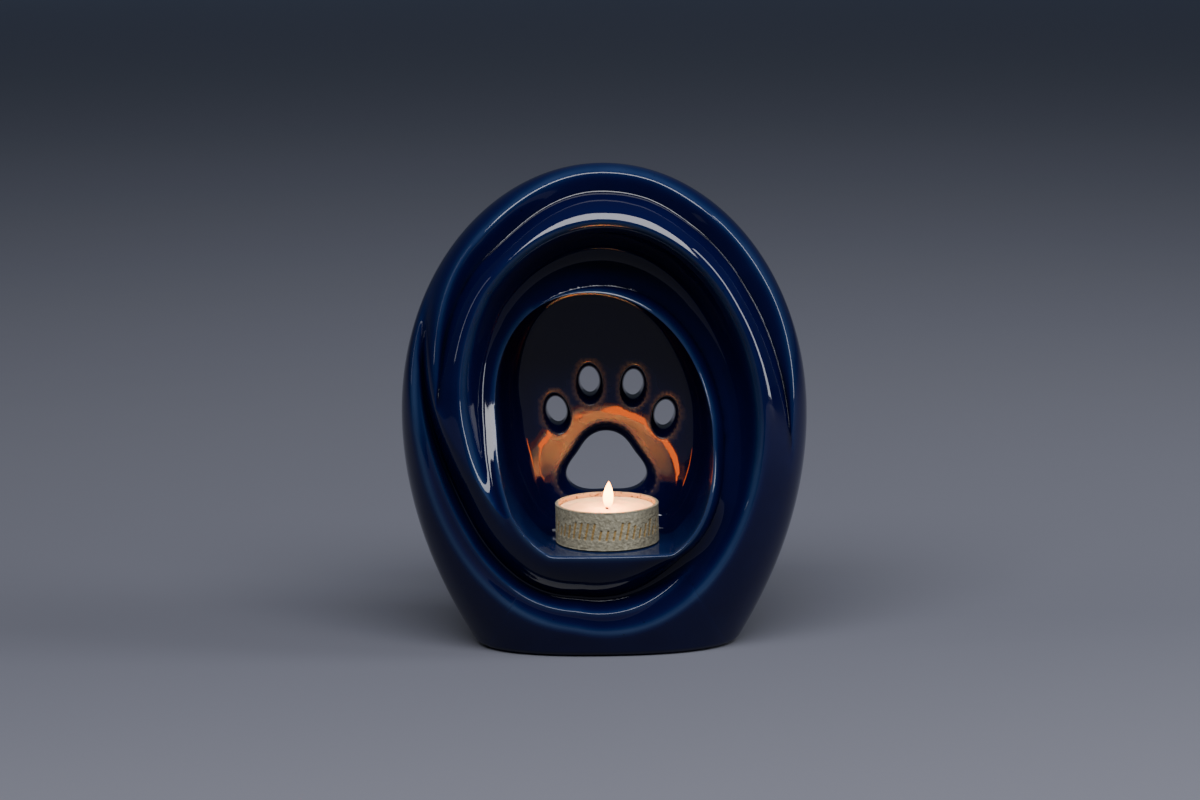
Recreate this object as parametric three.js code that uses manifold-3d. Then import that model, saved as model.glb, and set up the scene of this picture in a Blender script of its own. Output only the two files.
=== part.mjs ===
import * as THREE from 'three';
import { mergeVertices } from 'three/addons/utils/BufferGeometryUtils.js';
import Module from 'manifold-3d';

// Ceramic funeral urn for a small pet: an egg with a spiral carved round a candle niche.
// Millimetres. +X is to the right, +Y to the back, +Z up. The origin is the middle of the foot.
// Clock angles are in degrees from the top, counter-clockwise as seen from the front.

// The egg
const bodyWidth = 160;
const bodyHeight = 191;
const waistHeight = 92;
const depthRatio = 0.55;
const taperReach = 155;
const planPower = 2.35;
const footRound = 2.5;
const hubHeight = 90;

// The carved spiral
const mouthHalfWidth = 59.3;
const mouthHalfHeight = 79.2;
const outerDrop = 115;
const spiralStart = 41;
const spiralSettles = 172;
const spiralLeaves = 400;
const spiralEnd = 505;
const crestJoinsRim = 520;
const crestHugPower = 1.85;
const crestHugSoftness = 0.05;
const leastWidth = 0.5;
const grooveDepth = 10;
const grooveWidth = 10;
const bottomWidening = 4;
const bottomDeepening = 1;
const stepPlace = 0.58;
const stepDepth = 0.3;
const narrowFlank = 5;
const wideFlank = 12;
const lipWidth = 4.5;
const lipRise = 4;
const ridgeDepth = 10;
const ridgeWidth = 8.2;
const ringFlank = 6.5;
const softEdge = 3;
const crispEdge = 1.2;
const creaseEdge = 0.8;

// How fast each hollow deepens from its crest: 1 is straight, and 2 a parabola
const covePower = 2;
const openCovePower = 3.2;
const ridgePower = 1.3;

// Spans of clock angle, on a count that goes on past a full turn, over which a shape fades in
const grooveWidens = [41, 125];
const grooveDeepens = [41, 85];
const bottomWidens = [150, 200];
const bottomDeepens = [140, 190];
const coveOpens = [190, 262];
const rimSetsFloor = [150, 200];
const flankWidens = [75, 115];
const flankMeetsRim = [105, 150];
const stepStarts = [60, 95];
const stepEnds = [222, 180];
const lipFades = [400, 330];
const spiralFades = [505, 482];
const ridgeGrows = [255, 315];
const ridgeSinks = [448, 380];
const rimComesForwardLeft = [48, 142];
const rimComesForwardRight = [322, 203];

// How far the short crest lies inside the outline, and what is added over spans of angle
const ridgeInset = 2.2;
const ridgeInsets = [
  { added: 1, over: [350, 335] },
  { added: 4, over: [310, 265] },
  { added: 3, over: [362, 392] },
  { added: 9.5, over: [395, 440] },
];

// The niche
const rimHalfWidth = 42;
const rimRise = 51.3;
const rimDrop = 52.5;
const rimLeanUp = 0.12;
const rimLeanDown = 0.04;
const shelfHeight = 42.3;
const rimTopDepth = 10;
const rimSetBack = 1;
const panelThickness = 10;
const bowlCurve = 85;
const bowlReach = 27;
const bowlFade = 12;
const bowlMiddle = { x: -1, z: 57 };
const wallLeanIn = 2;
const narrowFillet = 5;
const leftFillet = 11;
const rightFillet = 7;
const filletShare = 0.7;
const filletSlope = 1.2;
const filletGrows = [18, 60];
const filletShrinks = [165, 120];
const leanGrows = [25, 50];

// The paw window in the back panel
const toeHalfWidth = 4;
const toeHalfHeight = 6.1;
const toeFlare = 2.6;
const toeFlareAcross = 0.6;
const toes = [
  { x: -19.3, z: 87, lean: 10 },
  { x: -5.8, z: 99, lean: 3 },
  { x: 12, z: 97.6, lean: -3 },
  { x: 24.6, z: 85, lean: -10 },
];
const padCentre = { x: 0.6, z: 62.5 };
const padHalfWidth = 15.6;
const padHalfHeight = 12.6;
const padSwell = 0.13;
const padRise = 1.3;
const padFlare = 3.3;
const edgeRounding = 1;
const backRounding = 1.2;
const mouthSide = 0.1;
const throat = 0.35;
const boreEnd = 0.92;

// The hollow and its opening
const wallThickness = 5;
const chamberClearance = 1;
const leastChamberDepth = 8;
const leastChamberFace = 4;
const fillingRadius = 16;
const fillingHeight = 16;
const fillingStart = -4;
const stopperClearance = 0.3;
const stopperHeight = 9;
const stopperRecess = 1;
const stopperChamfer = 0.8;
const stopperTaper = 1.2;

// The candle
const candleRadius = 20.5;
const candleHeight = 15.3;
const candleForward = 9.5;
const candleSide = 0.5;
const bandThickness = 1.6;
const bandRounding = 0.5;
const cupFloor = 1.2;
const waxTop = 13;
const wickRadius = 0.7;
const wickLength = 4;
const restGap = 0.3;

// Mesh fineness
const evenColumns = 72;
const cornerSteps = [0, 0.7, 2];
const columnClearance = 1.4;
const bendWeight = 9;
const reliefSamples = 500;
const nicheSamples = 20;
const rimPull = 0.6;
const reliefRows = 23;
const nicheRows = 5;
const panelRows = 3;
const backRows = 6;
const chamberColumns = 40;
const chamberRows = 7;
const toeSegments = 18;
const padSegments = 30;
const turnedSegments = 32;
const bandSegments = 36;

const degree = Math.PI / 180;

// A smooth step from 0 at a to 1 at b.
function ease(a, b, value) {
  const t = Math.min(Math.max((value - a) / (b - a), 0), 1);
  return t * t * (3 - 2 * t);
}

// How far a shape has faded in at a turn.
function grown(span, turn) {
  return ease(span[0], span[1], turn);
}

function mix(a, b, t) {
  return a + (b - a) * t;
}

// The lower of two depths, with the corner between them rounded.
function softMin(a, b, radius) {
  const h = Math.max(radius - Math.abs(a - b), 0) / radius;
  return Math.min(a, b) - h * h * radius / 4;
}

// The positive part of a number, with its corner rounded.
function softPositive(value, radius) {
  return -softMin(-value, 0, radius);
}

// A hollow from 0 at its crest to 1 at its foot.
function scoop(inward, power) {
  return 1 - Math.pow(1 - Math.min(Math.max(inward, 0), 1), power);
}

// Half the egg's width at a height: an ellipse above the waist, a parabola below it.
function fullHalfWidth(z) {
  const rise = (z - waistHeight) / (bodyHeight - waistHeight);
  const drop = (waistHeight - z) / taperReach;
  const share = z > waistHeight ? Math.sqrt(Math.max(1 - rise * rise, 0)) : 1 - drop * drop;
  return bodyWidth / 2 * share;
}

// The foot is rounded in by a quarter circle.
function footInset(z) {
  const under = Math.min(Math.max(footRound - z, 0), footRound);
  return footRound - Math.sqrt(footRound * footRound - under * under);
}

function halfWidth(z) {
  return Math.max(fullHalfWidth(z) - footInset(z), 0);
}

function halfDepth(z) {
  return Math.max(fullHalfWidth(z) * depthRatio - footInset(z), 0);
}

// How far the plain egg stands forward of its middle plane: every level section is a superellipse.
function eggDepth(x, z) {
  const across = Math.min(Math.abs(x) / Math.max(halfWidth(z), 1e-6), 1);
  return halfDepth(z) * Math.pow(1 - Math.pow(across, planPower), 1 / planPower);
}

// The point at a distance from the hub on a clock angle.
function atClock(angle, radius) {
  return [-Math.sin(angle * degree) * radius, hubHeight + Math.cos(angle * degree) * radius];
}

// The radius of an oval whose upper and lower halves have their own reach, power and lean.
function ovalRadius(angle, halfAcross, upper, lower) {
  const half = Math.cos(angle * degree) > 0 ? upper : lower;
  const across = Math.abs(Math.sin(angle * degree) - half.lean * Math.cos(angle * degree)) / halfAcross;
  const along = Math.abs(Math.cos(angle * degree)) / half.reach;
  return Math.pow(Math.pow(across, half.power) + Math.pow(along, half.power), -1 / half.power);
}

function outerRadius(angle) {
  const upper = { reach: bodyHeight - hubHeight, power: 2, lean: 0 };
  return ovalRadius(angle, bodyWidth / 2, upper, { reach: outerDrop, power: 2, lean: 0 });
}

function mouthRadius(angle) {
  const half = { reach: mouthHalfHeight, power: 2, lean: 0 };
  return ovalRadius(angle, mouthHalfWidth, half, half);
}

// The inner rim of the niche: a leaning oval that is cut level by the shelf.
function rimRadius(angle) {
  const upper = { reach: rimRise, power: 2.1, lean: rimLeanUp };
  const oval = ovalRadius(angle, rimHalfWidth, upper, { reach: rimDrop, power: 2.6, lean: rimLeanDown });
  const down = -Math.cos(angle * degree);
  const level = down > 0.05 ? (hubHeight - shelfHeight) / down : 1e3;
  return softMin(oval, level, 1);
}

// Where a ray from the hub leaves the egg: its outline, or the level foot.
function outlineRadius(angle) {
  let inside = 0;
  let outside = 2 * bodyHeight;
  for (let i = 0; i < 48; i += 1) {
    const middle = (inside + outside) / 2;
    const [x, z] = atClock(angle, middle);
    const within = z > 0 && z < bodyHeight && Math.abs(x) < halfWidth(z);
    inside = within ? middle : inside;
    outside = within ? outside : middle;
  }
  return inside;
}

// The long crest winds from the outline to the mouth oval, and after a full turn into the rim.
function crestRadius(turn) {
  const mouth = mouthRadius(turn);
  if (turn < spiralSettles) {
    const left = Math.min((spiralSettles - turn) / (spiralSettles - spiralStart), 1);
    const hug = (1 + crestHugSoftness) * Math.pow(left, crestHugPower) / (left + crestHugSoftness);
    return mix(mouth, outerRadius(turn), hug);
  }
  return mix(mouth, rimRadius(turn), Math.max((turn - spiralLeaves) / (crestJoinsRim - spiralLeaves), 0));
}

// The rim lies deep by the panel at the top and comes forward down both sides.
function rimDepth(angle) {
  const [x, z] = atClock(angle, rimRadius(angle));
  const forward = Math.min(grown(rimComesForwardLeft, angle), grown(rimComesForwardRight, angle));
  return mix(rimTopDepth, eggDepth(x, z) - rimSetBack, forward);
}

// How deep the egg is carved by the long groove on one of its turns. A cove falls from the crest,
// on the left and the bottom with a crisp step in it, and a rounded flank climbs from its foot.
function longGroove(turn, radius) {
  if (turn < spiralStart || turn > spiralEnd) {
    return 0;
  }
  const angle = turn % 360;
  const crest = crestRadius(turn);
  const rim = rimRadius(angle);
  const [rimX, rimZ] = atClock(angle, rim);
  const rimCut = eggDepth(rimX, rimZ) - rimDepth(angle);
  const opening = grown(coveOpens, turn);
  const closedWidth = grooveWidth * grown(grooveWidens, turn) + bottomWidening * grown(bottomWidens, turn);
  const openWidth = crest - rim - lipWidth * grown(lipFades, turn);
  const width = Math.max(Math.min(mix(closedWidth, openWidth, opening), openWidth), leastWidth);
  const closedFloor = grooveDepth * grown(grooveDeepens, turn) + bottomDeepening * grown(bottomDeepens, turn);
  const openFloor = rimCut + lipRise * grown(lipFades, turn);
  const floor = Math.max(mix(closedFloor, openFloor, opening), openFloor * grown(rimSetsFloor, turn));
  const flankEnd = rimCut * grown(flankMeetsRim, turn);
  const freeFlank = mix(narrowFlank, wideFlank, grown(flankWidens, turn));
  const flank = Math.max(mix(freeFlank, crest - width - rim, grown(flankMeetsRim, turn)), leastWidth);
  const inward = softPositive((crest - radius) / width, softEdge / width);
  const plain = scoop(inward, mix(covePower, openCovePower, opening));
  const pastStep = softPositive((inward - stepPlace) / (1 - stepPlace), crispEdge / width);
  const beforeStep = scoop(inward / stepPlace, covePower);
  const stepped = mix(scoop(pastStep, covePower), beforeStep, stepDepth);
  const cove = floor * mix(plain, stepped, grown(stepStarts, turn) * grown(stepEnds, turn));
  const beyond = Math.min(Math.max(1 - (crest - width - radius) / flank, 0), 1);
  const climb = flankEnd + Math.max(floor - flankEnd, 0) * beyond * beyond;
  return Math.max(softMin(cove, climb, creaseEdge) * grown(spiralFades, turn), 0);
}

// The short crest runs just inside the outline, over the top from the right to the left.
function ridgeRadius(turn) {
  const added = ridgeInsets.reduce((sum, inset) => sum + inset.added * grown(inset.over, turn), 0);
  return outerRadius(turn) - ridgeInset - added;
}

// The groove inside the short crest: a steep wall, a crisp crease and the ring's rounded flank.
function shortGroove(turn, radius) {
  const strength = grown(ridgeGrows, turn) * grown(ridgeSinks, turn);
  if (strength <= 0) {
    return 0;
  }
  const width = Math.max(ridgeWidth * strength, leastWidth);
  const floor = ridgeDepth * Math.pow(strength, 0.8);
  const crest = ridgeRadius(turn);
  const cove = floor * scoop(softPositive((crest - radius) / width, crispEdge / width), ridgePower);
  const beyond = Math.min(Math.max(1 - (crest - width - radius) / ringFlank, 0), 1);
  return Math.max(softMin(cove, floor * beyond * beyond, creaseEdge), 0);
}

// The carved front: forward distance of the surface on a clock angle, outside the rim.
function frontDepth(angle, radius) {
  const [x, z] = atClock(angle, radius);
  const first = longGroove(angle, radius);
  const second = longGroove(angle + 360, radius);
  const short = Math.max(shortGroove(angle, radius), shortGroove(angle + 360, radius));
  return eggDepth(x, z) - Math.max(first, second, short);
}

// The panel is the egg's back less a bowl, which is round as far as its reach and flattens beyond.
function panelDepth(x, z) {
  const away = Math.hypot(x - bowlMiddle.x, z - bowlMiddle.z);
  const inner = Math.min(away, bowlReach);
  const beyond = bowlReach * bowlFade * (1 - Math.exp(-(away - inner) / bowlFade));
  return panelThickness + (inner * inner / 2 + beyond) / bowlCurve - eggDepth(x, z);
}

// The niche turns into the panel by a fillet, which is wide at the sides, most so on the left.
function filletWidth(angle) {
  const fromShelf = Math.abs(angle - 180);
  const side = grown(filletGrows, fromShelf) * grown(filletShrinks, fromShelf);
  return mix(narrowFillet, angle < 180 ? leftFillet : rightFillet, side);
}

// How far the niche wall leans in between the rim and the panel: not at all along the shelf.
function wallLean(angle) {
  return wallLeanIn * grown(leanGrows, Math.abs(angle - 180));
}

// The section of the niche wall from the rim back to the panel, as points [radius, depth].
function nicheProfile(angle) {
  const rim = rimRadius(angle);
  const from = rimDepth(angle);
  const lean = wallLean(angle);
  const width = filletWidth(angle);
  const floor = panelDepth(...atClock(angle, rim - lean - width));
  const fillet = Math.min(Math.max((from - floor) * filletShare, 0), filletSlope * width);
  const points = [];
  for (let i = 0; i <= nicheSamples; i += 1) {
    const t = i / nicheSamples;
    points.push([rim - lean * t, mix(from, floor + fillet, t)]);
  }
  for (let i = 1; i <= nicheSamples; i += 1) {
    const swing = i / nicheSamples * Math.PI / 2;
    points.push([rim - lean - width * (1 - Math.cos(swing)), floor + fillet * (1 - Math.sin(swing))]);
  }
  return points;
}

// The section of the carved front from the outline in to the rim, as points [radius, depth].
function reliefProfile(angle) {
  const outline = outlineRadius(angle);
  const rim = rimRadius(angle);
  const [, outlineHeight] = atClock(angle, outline);
  const points = [];
  for (let i = 0; i <= reliefSamples; i += 1) {
    const t = i / reliefSamples;
    const radius = outline - (outline - rim) * mix(t * t, t, rimPull);
    const onSide = i === 0 && outlineHeight > 0.01;
    points.push([radius, onSide ? 0 : frontDepth(angle, radius)]);
  }
  points[reliefSamples] = [rim, rimDepth(angle)];
  return points;
}

// Points spread along a section: closer together where it turns.
function spread(points, count) {
  const weights = [0];
  let heading = null;
  for (let i = 1; i < points.length; i += 1) {
    const across = points[i][0] - points[i - 1][0];
    const along = points[i][1] - points[i - 1][1];
    const next = Math.atan2(along, across);
    const turned = heading === null ? 0 : next - heading;
    const bend = Math.abs(Math.atan2(Math.sin(turned), Math.cos(turned)));
    weights.push(weights[i - 1] + Math.hypot(across, along) + bendWeight * Math.min(bend, 1));
    heading = next;
  }
  const total = weights[weights.length - 1];
  const chosen = [];
  let i = 0;
  for (let k = 0; k <= count; k += 1) {
    const target = total * k / count;
    while (i < weights.length - 2 && weights[i + 1] < target) {
      i += 1;
    }
    const t = Math.min(Math.max((target - weights[i]) / Math.max(weights[i + 1] - weights[i], 1e-9), 0), 1);
    chosen.push([mix(points[i][0], points[i + 1][0], t), mix(points[i][1], points[i + 1][1], t)]);
  }
  return chosen;
}

// One column of the skin: from the middle of the panel over the front, foot and back.
function skinColumn(angle) {
  const column = [];
  const put = (radius, depth) => {
    const [x, z] = atClock(angle, radius);
    column.push([x, -depth, Math.max(z, 0)]);
  };
  const niche = spread(nicheProfile(angle), nicheRows);
  const relief = spread(reliefProfile(angle), reliefRows);
  const panelRadius = niche[nicheRows][0];
  for (let i = 0; i < panelRows; i += 1) {
    const radius = panelRadius * i / panelRows;
    const [x, z] = atClock(angle, radius);
    put(radius, panelDepth(x, z));
  }
  for (let i = nicheRows; i > 0; i -= 1) {
    put(niche[i][0], niche[i][1]);
  }
  for (let i = reliefRows; i >= 0; i -= 1) {
    put(relief[i][0], relief[i][1]);
  }
  const outline = relief[0][0];
  const edge = relief[0][1];
  put(outline, -edge);
  for (let i = 1; i <= backRows; i += 1) {
    const radius = outline * Math.cos(Math.PI / 2 * i / backRows);
    const [x, z] = atClock(angle, radius);
    put(radius, -eggDepth(x, z));
  }
  return column;
}

// A closed mesh from columns of points. Rows that meet in one point make triangles there.
function meshFromColumns(loops, closedAcross) {
  const height = loops[0].length;
  const positions = loops.flat(2);
  const index = [];
  const across = closedAcross ? height : height - 1;
  for (let c = 0; c < loops.length; c += 1) {
    const here = c * height;
    const next = ((c + 1) % loops.length) * height;
    for (let r = 0; r < across; r += 1) {
      const up = (r + 1) % height;
      index.push(here + r, next + r, next + up);
      index.push(here + r, next + up, here + up);
    }
  }
  const geometry = new THREE.BufferGeometry();
  geometry.setAttribute('position', new THREE.Float32BufferAttribute(positions, 3));
  geometry.setIndex(index);
  return facingOut(tidy(geometry));
}

// Shared corners are merged, and triangles with no area are dropped.
function tidy(geometry) {
  const source = geometry.clone();
  source.deleteAttribute('normal');
  source.deleteAttribute('uv');
  const merged = mergeVertices(source, 1e-4);
  const corners = merged.index.array;
  const kept = [];
  for (let i = 0; i < corners.length; i += 3) {
    const [a, b, c] = [corners[i], corners[i + 1], corners[i + 2]];
    if (a !== b && b !== c && c !== a) {
      kept.push(a, b, c);
    }
  }
  merged.setIndex(kept);
  return merged;
}

const wasm = await Module();
wasm.setup();

function toSolid(geometry) {
  const clean = tidy(geometry);
  return new wasm.Manifold(new wasm.Mesh({
    numProp: 3,
    vertProperties: new Float32Array(clean.attributes.position.array),
    triVerts: new Uint32Array(clean.index.array),
  }));
}

function toGeometry(solid) {
  const mesh = solid.getMesh();
  const geometry = new THREE.BufferGeometry();
  geometry.setAttribute('position', new THREE.BufferAttribute(new Float32Array(mesh.vertProperties), 3));
  geometry.setIndex(new THREE.BufferAttribute(new Uint32Array(mesh.triVerts), 1));
  return geometry;
}

// The clock angles of the columns: evenly spread, with a few more round the corners of the foot.
function columnAngles() {
  const corner = 180 - Math.atan2(halfWidth(0), hubHeight) / degree;
  const near = cornerSteps.flatMap((step) => [corner + step, 360 - corner - step]);
  const even = Array.from({ length: evenColumns }, (_, c) => 360 * c / evenColumns);
  const clear = even.filter((angle) => near.every((other) => Math.abs(angle - other) > columnClearance));
  return clear.concat(near).sort((a, b) => a - b);
}

function makeSkin() {
  return toSolid(meshFromColumns(columnAngles().map(skinColumn), false));
}

// The ash chamber is a ring round the niche, one wall thickness inside every face.
// Its front is the lowest point of the carved front within a wall thickness either way.
function chamberColumn(angle) {
  const outer = outlineRadius(angle) - wallThickness - chamberClearance;
  const probe = [-1, -0.5, 0, 0.5, 1].map((share) => share * (wallThickness + 0.5));
  const front = (radius) => {
    const depths = probe.map((step) => {
      const reach = Math.min(radius + step, outlineRadius(angle) - 0.5);
      return reach < rimRadius(angle) ? rimTopDepth : frontDepth(angle, reach);
    });
    return Math.min(...depths) - wallThickness;
  };
  const back = (radius) => {
    const [x, z] = atClock(angle, radius);
    return wallThickness - eggDepth(x, z);
  };
  let inner = rimRadius(angle) + wallThickness + chamberClearance;
  while (front(inner) - back(inner) < leastChamberDepth && inner < outer - 3) {
    inner += 0.5;
  }
  const fronts = [];
  const backs = [];
  for (let i = 0; i <= chamberRows; i += 1) {
    const radius = mix(inner, outer, i / chamberRows);
    const [x, z] = atClock(angle, radius);
    const low = back(radius);
    fronts.push([x, -Math.max(front(radius), low + leastChamberFace), z]);
    backs.push([x, -low, z]);
  }
  return fronts.concat(backs.reverse());
}

function makeChamber() {
  const loops = [];
  for (let c = 0; c < chamberColumns; c += 1) {
    loops.push(chamberColumn(360 * c / chamberColumns));
  }
  return toSolid(meshFromColumns(loops, true));
}

// A cutter through the panel, whose section is a loop of [x, z] for each growth in size.
// It narrows from the panel's face to a throat, runs straight, and opens a little at the back.
function holeCutter(section, flare) {
  const stations = [
    [-0.4, flare + edgeRounding],
    [0, flare + edgeRounding],
    [mouthSide, flare * 0.75],
    [throat, 0],
    [boreEnd, 0],
    [1, backRounding],
    [1.3, backRounding],
  ];
  const loops = stations.map(([through, growth]) => section(growth).map(([x, z]) => (
    [x, -mix(panelDepth(x, z), -eggDepth(x, z), through), z]
  )));
  const ends = [loops[0], loops[loops.length - 1]].map((loop) => {
    const middle = [0, 1, 2].map((axis) => loop.reduce((sum, point) => sum + point[axis], 0) / loop.length);
    return loop.map(() => middle);
  });
  return toSolid(meshFromRows([ends[0], ...loops, ends[1]]));
}

// A closed mesh from rows of points that run round an axis.
function meshFromRows(rows) {
  const loops = rows[0].map((_, c) => rows.map((row) => row[c]));
  return meshFromColumns(loops, false);
}

// Turns a closed mesh the right way out.
function facingOut(geometry) {
  const place = geometry.attributes.position;
  const corners = geometry.index.array;
  let volume = 0;
  const [a, b, c] = [new THREE.Vector3(), new THREE.Vector3(), new THREE.Vector3()];
  for (let i = 0; i < corners.length; i += 3) {
    a.fromBufferAttribute(place, corners[i]);
    b.fromBufferAttribute(place, corners[i + 1]);
    c.fromBufferAttribute(place, corners[i + 2]);
    volume += a.dot(b.cross(c));
  }
  if (volume < 0) {
    geometry.setIndex(Array.from(corners).reverse());
  }
  return geometry;
}

// A toe is an oval that leans outwards.
function toeSection(toe) {
  return (growth) => Array.from({ length: toeSegments }, (_, i) => {
    const swing = 2 * Math.PI * i / toeSegments;
    const across = Math.cos(swing) * (toeHalfWidth + growth * toeFlareAcross);
    const along = Math.sin(swing) * (toeHalfHeight + growth);
    const lean = toe.lean * degree;
    return [
      toe.x + across * Math.cos(lean) - along * Math.sin(lean),
      toe.z + across * Math.sin(lean) + along * Math.cos(lean),
    ];
  });
}

// The pad is a rounded triangle with its point up: a circle whose radius swells three times.
function padSection(growth) {
  return Array.from({ length: padSegments }, (_, i) => {
    const swing = 2 * Math.PI * i / padSegments;
    const swell = 1 + padSwell * Math.sin(3 * swing + Math.PI);
    const across = Math.cos(swing) * swell * (padHalfWidth + growth);
    const along = Math.sin(swing) * swell * (padHalfHeight + growth);
    return [padCentre.x + across, padCentre.z + along + padRise];
  });
}

function makeBody() {
  let body = makeSkin().subtract(makeChamber());
  for (const toe of toes) {
    body = body.subtract(holeCutter(toeSection(toe), toeFlare));
  }
  body = body.subtract(holeCutter(padSection, padFlare));
  const filling = new THREE.CylinderGeometry(fillingRadius, fillingRadius, fillingHeight, turnedSegments);
  filling.rotateX(Math.PI / 2);
  filling.translate(0, 0, fillingHeight / 2 + fillingStart);
  body = body.subtract(toSolid(filling));
  return toGeometry(body);
}

// A turned piece from a closed profile of [radius, height].
function turned(profile, segments) {
  const geometry = new THREE.LatheGeometry(profile.map(([r, h]) => new THREE.Vector2(r, h)), segments);
  geometry.rotateX(Math.PI / 2);
  return facingOut(tidy(geometry));
}

function makeStopper() {
  const radius = fillingRadius - stopperClearance;
  return turned([
    [0, stopperRecess],
    [radius - stopperChamfer, stopperRecess],
    [radius, stopperRecess + stopperChamfer],
    [radius - stopperTaper, stopperHeight],
    [0, stopperHeight],
  ], turnedSegments);
}

// The candle's cup: a band of textured board with a floor.
function makeCup() {
  const inner = candleRadius - bandThickness;
  return turned([
    [0, 0],
    [candleRadius - bandRounding, 0],
    [candleRadius, bandRounding],
    [candleRadius, candleHeight - bandRounding],
    [candleRadius - bandRounding, candleHeight],
    [inner, candleHeight],
    [inner, cupFloor],
    [0, cupFloor],
  ], bandSegments);
}

function makeWax() {
  const radius = candleRadius - bandThickness - restGap;
  const bottom = cupFloor + restGap;
  return turned([
    [0, bottom],
    [radius, bottom],
    [radius, waxTop],
    [0, waxTop],
  ], turnedSegments);
}

function makeWick() {
  const wick = new THREE.CylinderGeometry(wickRadius * 0.7, wickRadius, wickLength, 10);
  wick.rotateX(Math.PI / 2);
  wick.translate(0, 0, waxTop + restGap + wickLength / 2);
  return wick;
}

const glaze = new THREE.MeshStandardMaterial({ color: 0x0b1d66, roughness: 0.08, metalness: 0 });
const rubber = new THREE.MeshStandardMaterial({ color: 0x2a2a2c, roughness: 0.7, metalness: 0 });
const board = new THREE.MeshStandardMaterial({ color: 0xb9b7a2, roughness: 0.85, metalness: 0 });
const paraffin = new THREE.MeshStandardMaterial({ color: 0xf3dcc4, roughness: 0.4, metalness: 0 });
const char = new THREE.MeshStandardMaterial({ color: 0x17120f, roughness: 0.9, metalness: 0 });

const group = new THREE.Group();

function place(parent, name, geometry, material) {
  const mesh = new THREE.Mesh(geometry, material);
  mesh.name = name;
  parent.add(mesh);
}

const body = makeBody();
place(group, 'urn_body', body, glaze);
place(group, 'filling_hole_stopper', makeStopper(), rubber);

const candle = new THREE.Group();
candle.position.set(candleSide, -candleForward, shelfHeight + restGap);
place(candle, 'candle_cup', makeCup(), board);
place(candle, 'candle_wax', makeWax(), paraffin);
place(candle, 'candle_wick', makeWick(), char);
group.add(candle);

// The origin is under the middle of the whole urn, which is carved on its front only.
body.computeBoundingBox();
group.position.y = -(body.boundingBox.min.y + body.boundingBox.max.y) / 2;

export default group;
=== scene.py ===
# %% [markdown]
# # A carved ceramic urn with a candle in its niche
# The urn is one slip-cast shell under a deep cobalt glaze. A spiral is carved round its front,
# and the innermost turn becomes the mouth of a niche with a paw window in its back.
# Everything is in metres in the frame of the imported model, and each shape is a formula over a grid.

# %% The frame
import bmesh
import bpy
import numpy as np
from mathutils import Matrix, Vector
from mathutils.geometry import delaunay_2d_cdt


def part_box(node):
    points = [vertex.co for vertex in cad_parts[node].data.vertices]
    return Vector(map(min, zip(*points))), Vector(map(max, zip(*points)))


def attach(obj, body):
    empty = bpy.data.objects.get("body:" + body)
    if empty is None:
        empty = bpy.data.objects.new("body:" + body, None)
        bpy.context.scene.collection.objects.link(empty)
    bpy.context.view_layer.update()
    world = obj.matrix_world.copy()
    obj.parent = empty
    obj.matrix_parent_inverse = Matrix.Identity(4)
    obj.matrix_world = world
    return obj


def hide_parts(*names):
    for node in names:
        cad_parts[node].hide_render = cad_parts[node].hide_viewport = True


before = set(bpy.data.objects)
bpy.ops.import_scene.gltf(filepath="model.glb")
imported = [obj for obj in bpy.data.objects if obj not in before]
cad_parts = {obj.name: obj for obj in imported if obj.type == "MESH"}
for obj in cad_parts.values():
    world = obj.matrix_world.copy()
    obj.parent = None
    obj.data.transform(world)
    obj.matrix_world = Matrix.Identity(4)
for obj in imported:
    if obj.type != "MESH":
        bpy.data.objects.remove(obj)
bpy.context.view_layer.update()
MM = 0.001
print("nodes in the frame:", sorted(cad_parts))

# %% [markdown]
# ## Camera
# A photograph of a small object is taken with a long lens from about a metre, which keeps its
# verticals nearly parallel. The camera looks ten degrees down and is rolled by less than a degree.

# %% Camera
PITCH, ROLL = np.radians(10.3), np.radians(0.85)
DISTANCE, LENS, SENSOR_WIDTH, NEAREST = 1.12, 85, 36, 0.01
AIM_ACROSS, AIM_HEIGHT, WAIST_HALF_DEPTH = -1.6 * MM, 97.1 * MM, 44 * MM
middle_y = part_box("urn_body")[1].y - WAIST_HALF_DEPTH

look = Vector((0, np.cos(PITCH), -np.sin(PITCH)))
side = Vector((1, 0, 0))
above = side.cross(look)
right = side * np.cos(ROLL) - above * np.sin(ROLL)
up = side * np.sin(ROLL) + above * np.cos(ROLL)
target = Vector((AIM_ACROSS, middle_y, AIM_HEIGHT))

camera = bpy.data.objects.new("camera", bpy.data.cameras.new("camera"))
bpy.context.scene.collection.objects.link(camera)
camera.data.lens, camera.data.sensor_width, camera.data.clip_start = LENS, SENSOR_WIDTH, NEAREST
turn = Matrix((right, up, -look)).transposed().to_4x4()
camera.matrix_world = Matrix.Translation(target - look * DISTANCE) @ turn
bpy.context.scene.camera = camera
print("camera at", [round(v, 3) for v in camera.location])

# %% [markdown]
# ## Small tools
# A grid of points becomes a mesh by joining each point to its neighbours in the next row and
# column. Each square is cut along its shorter diagonal, so that slanting crests stay crisp.

# %% Grids and meshes
SAME_POINT, WELD = 1e-7, 2e-6


def ease(a, b, value):
    """A smooth step from 0 at a to 1 at b: 3t^2 - 2t^3 of the share t."""
    t = np.clip((value - a) / (b - a), 0, 1)
    return t * t * (3 - 2 * t)


def mix(a, b, t):
    """The weighted mean a + (b - a) t."""
    return a + (b - a) * t


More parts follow.
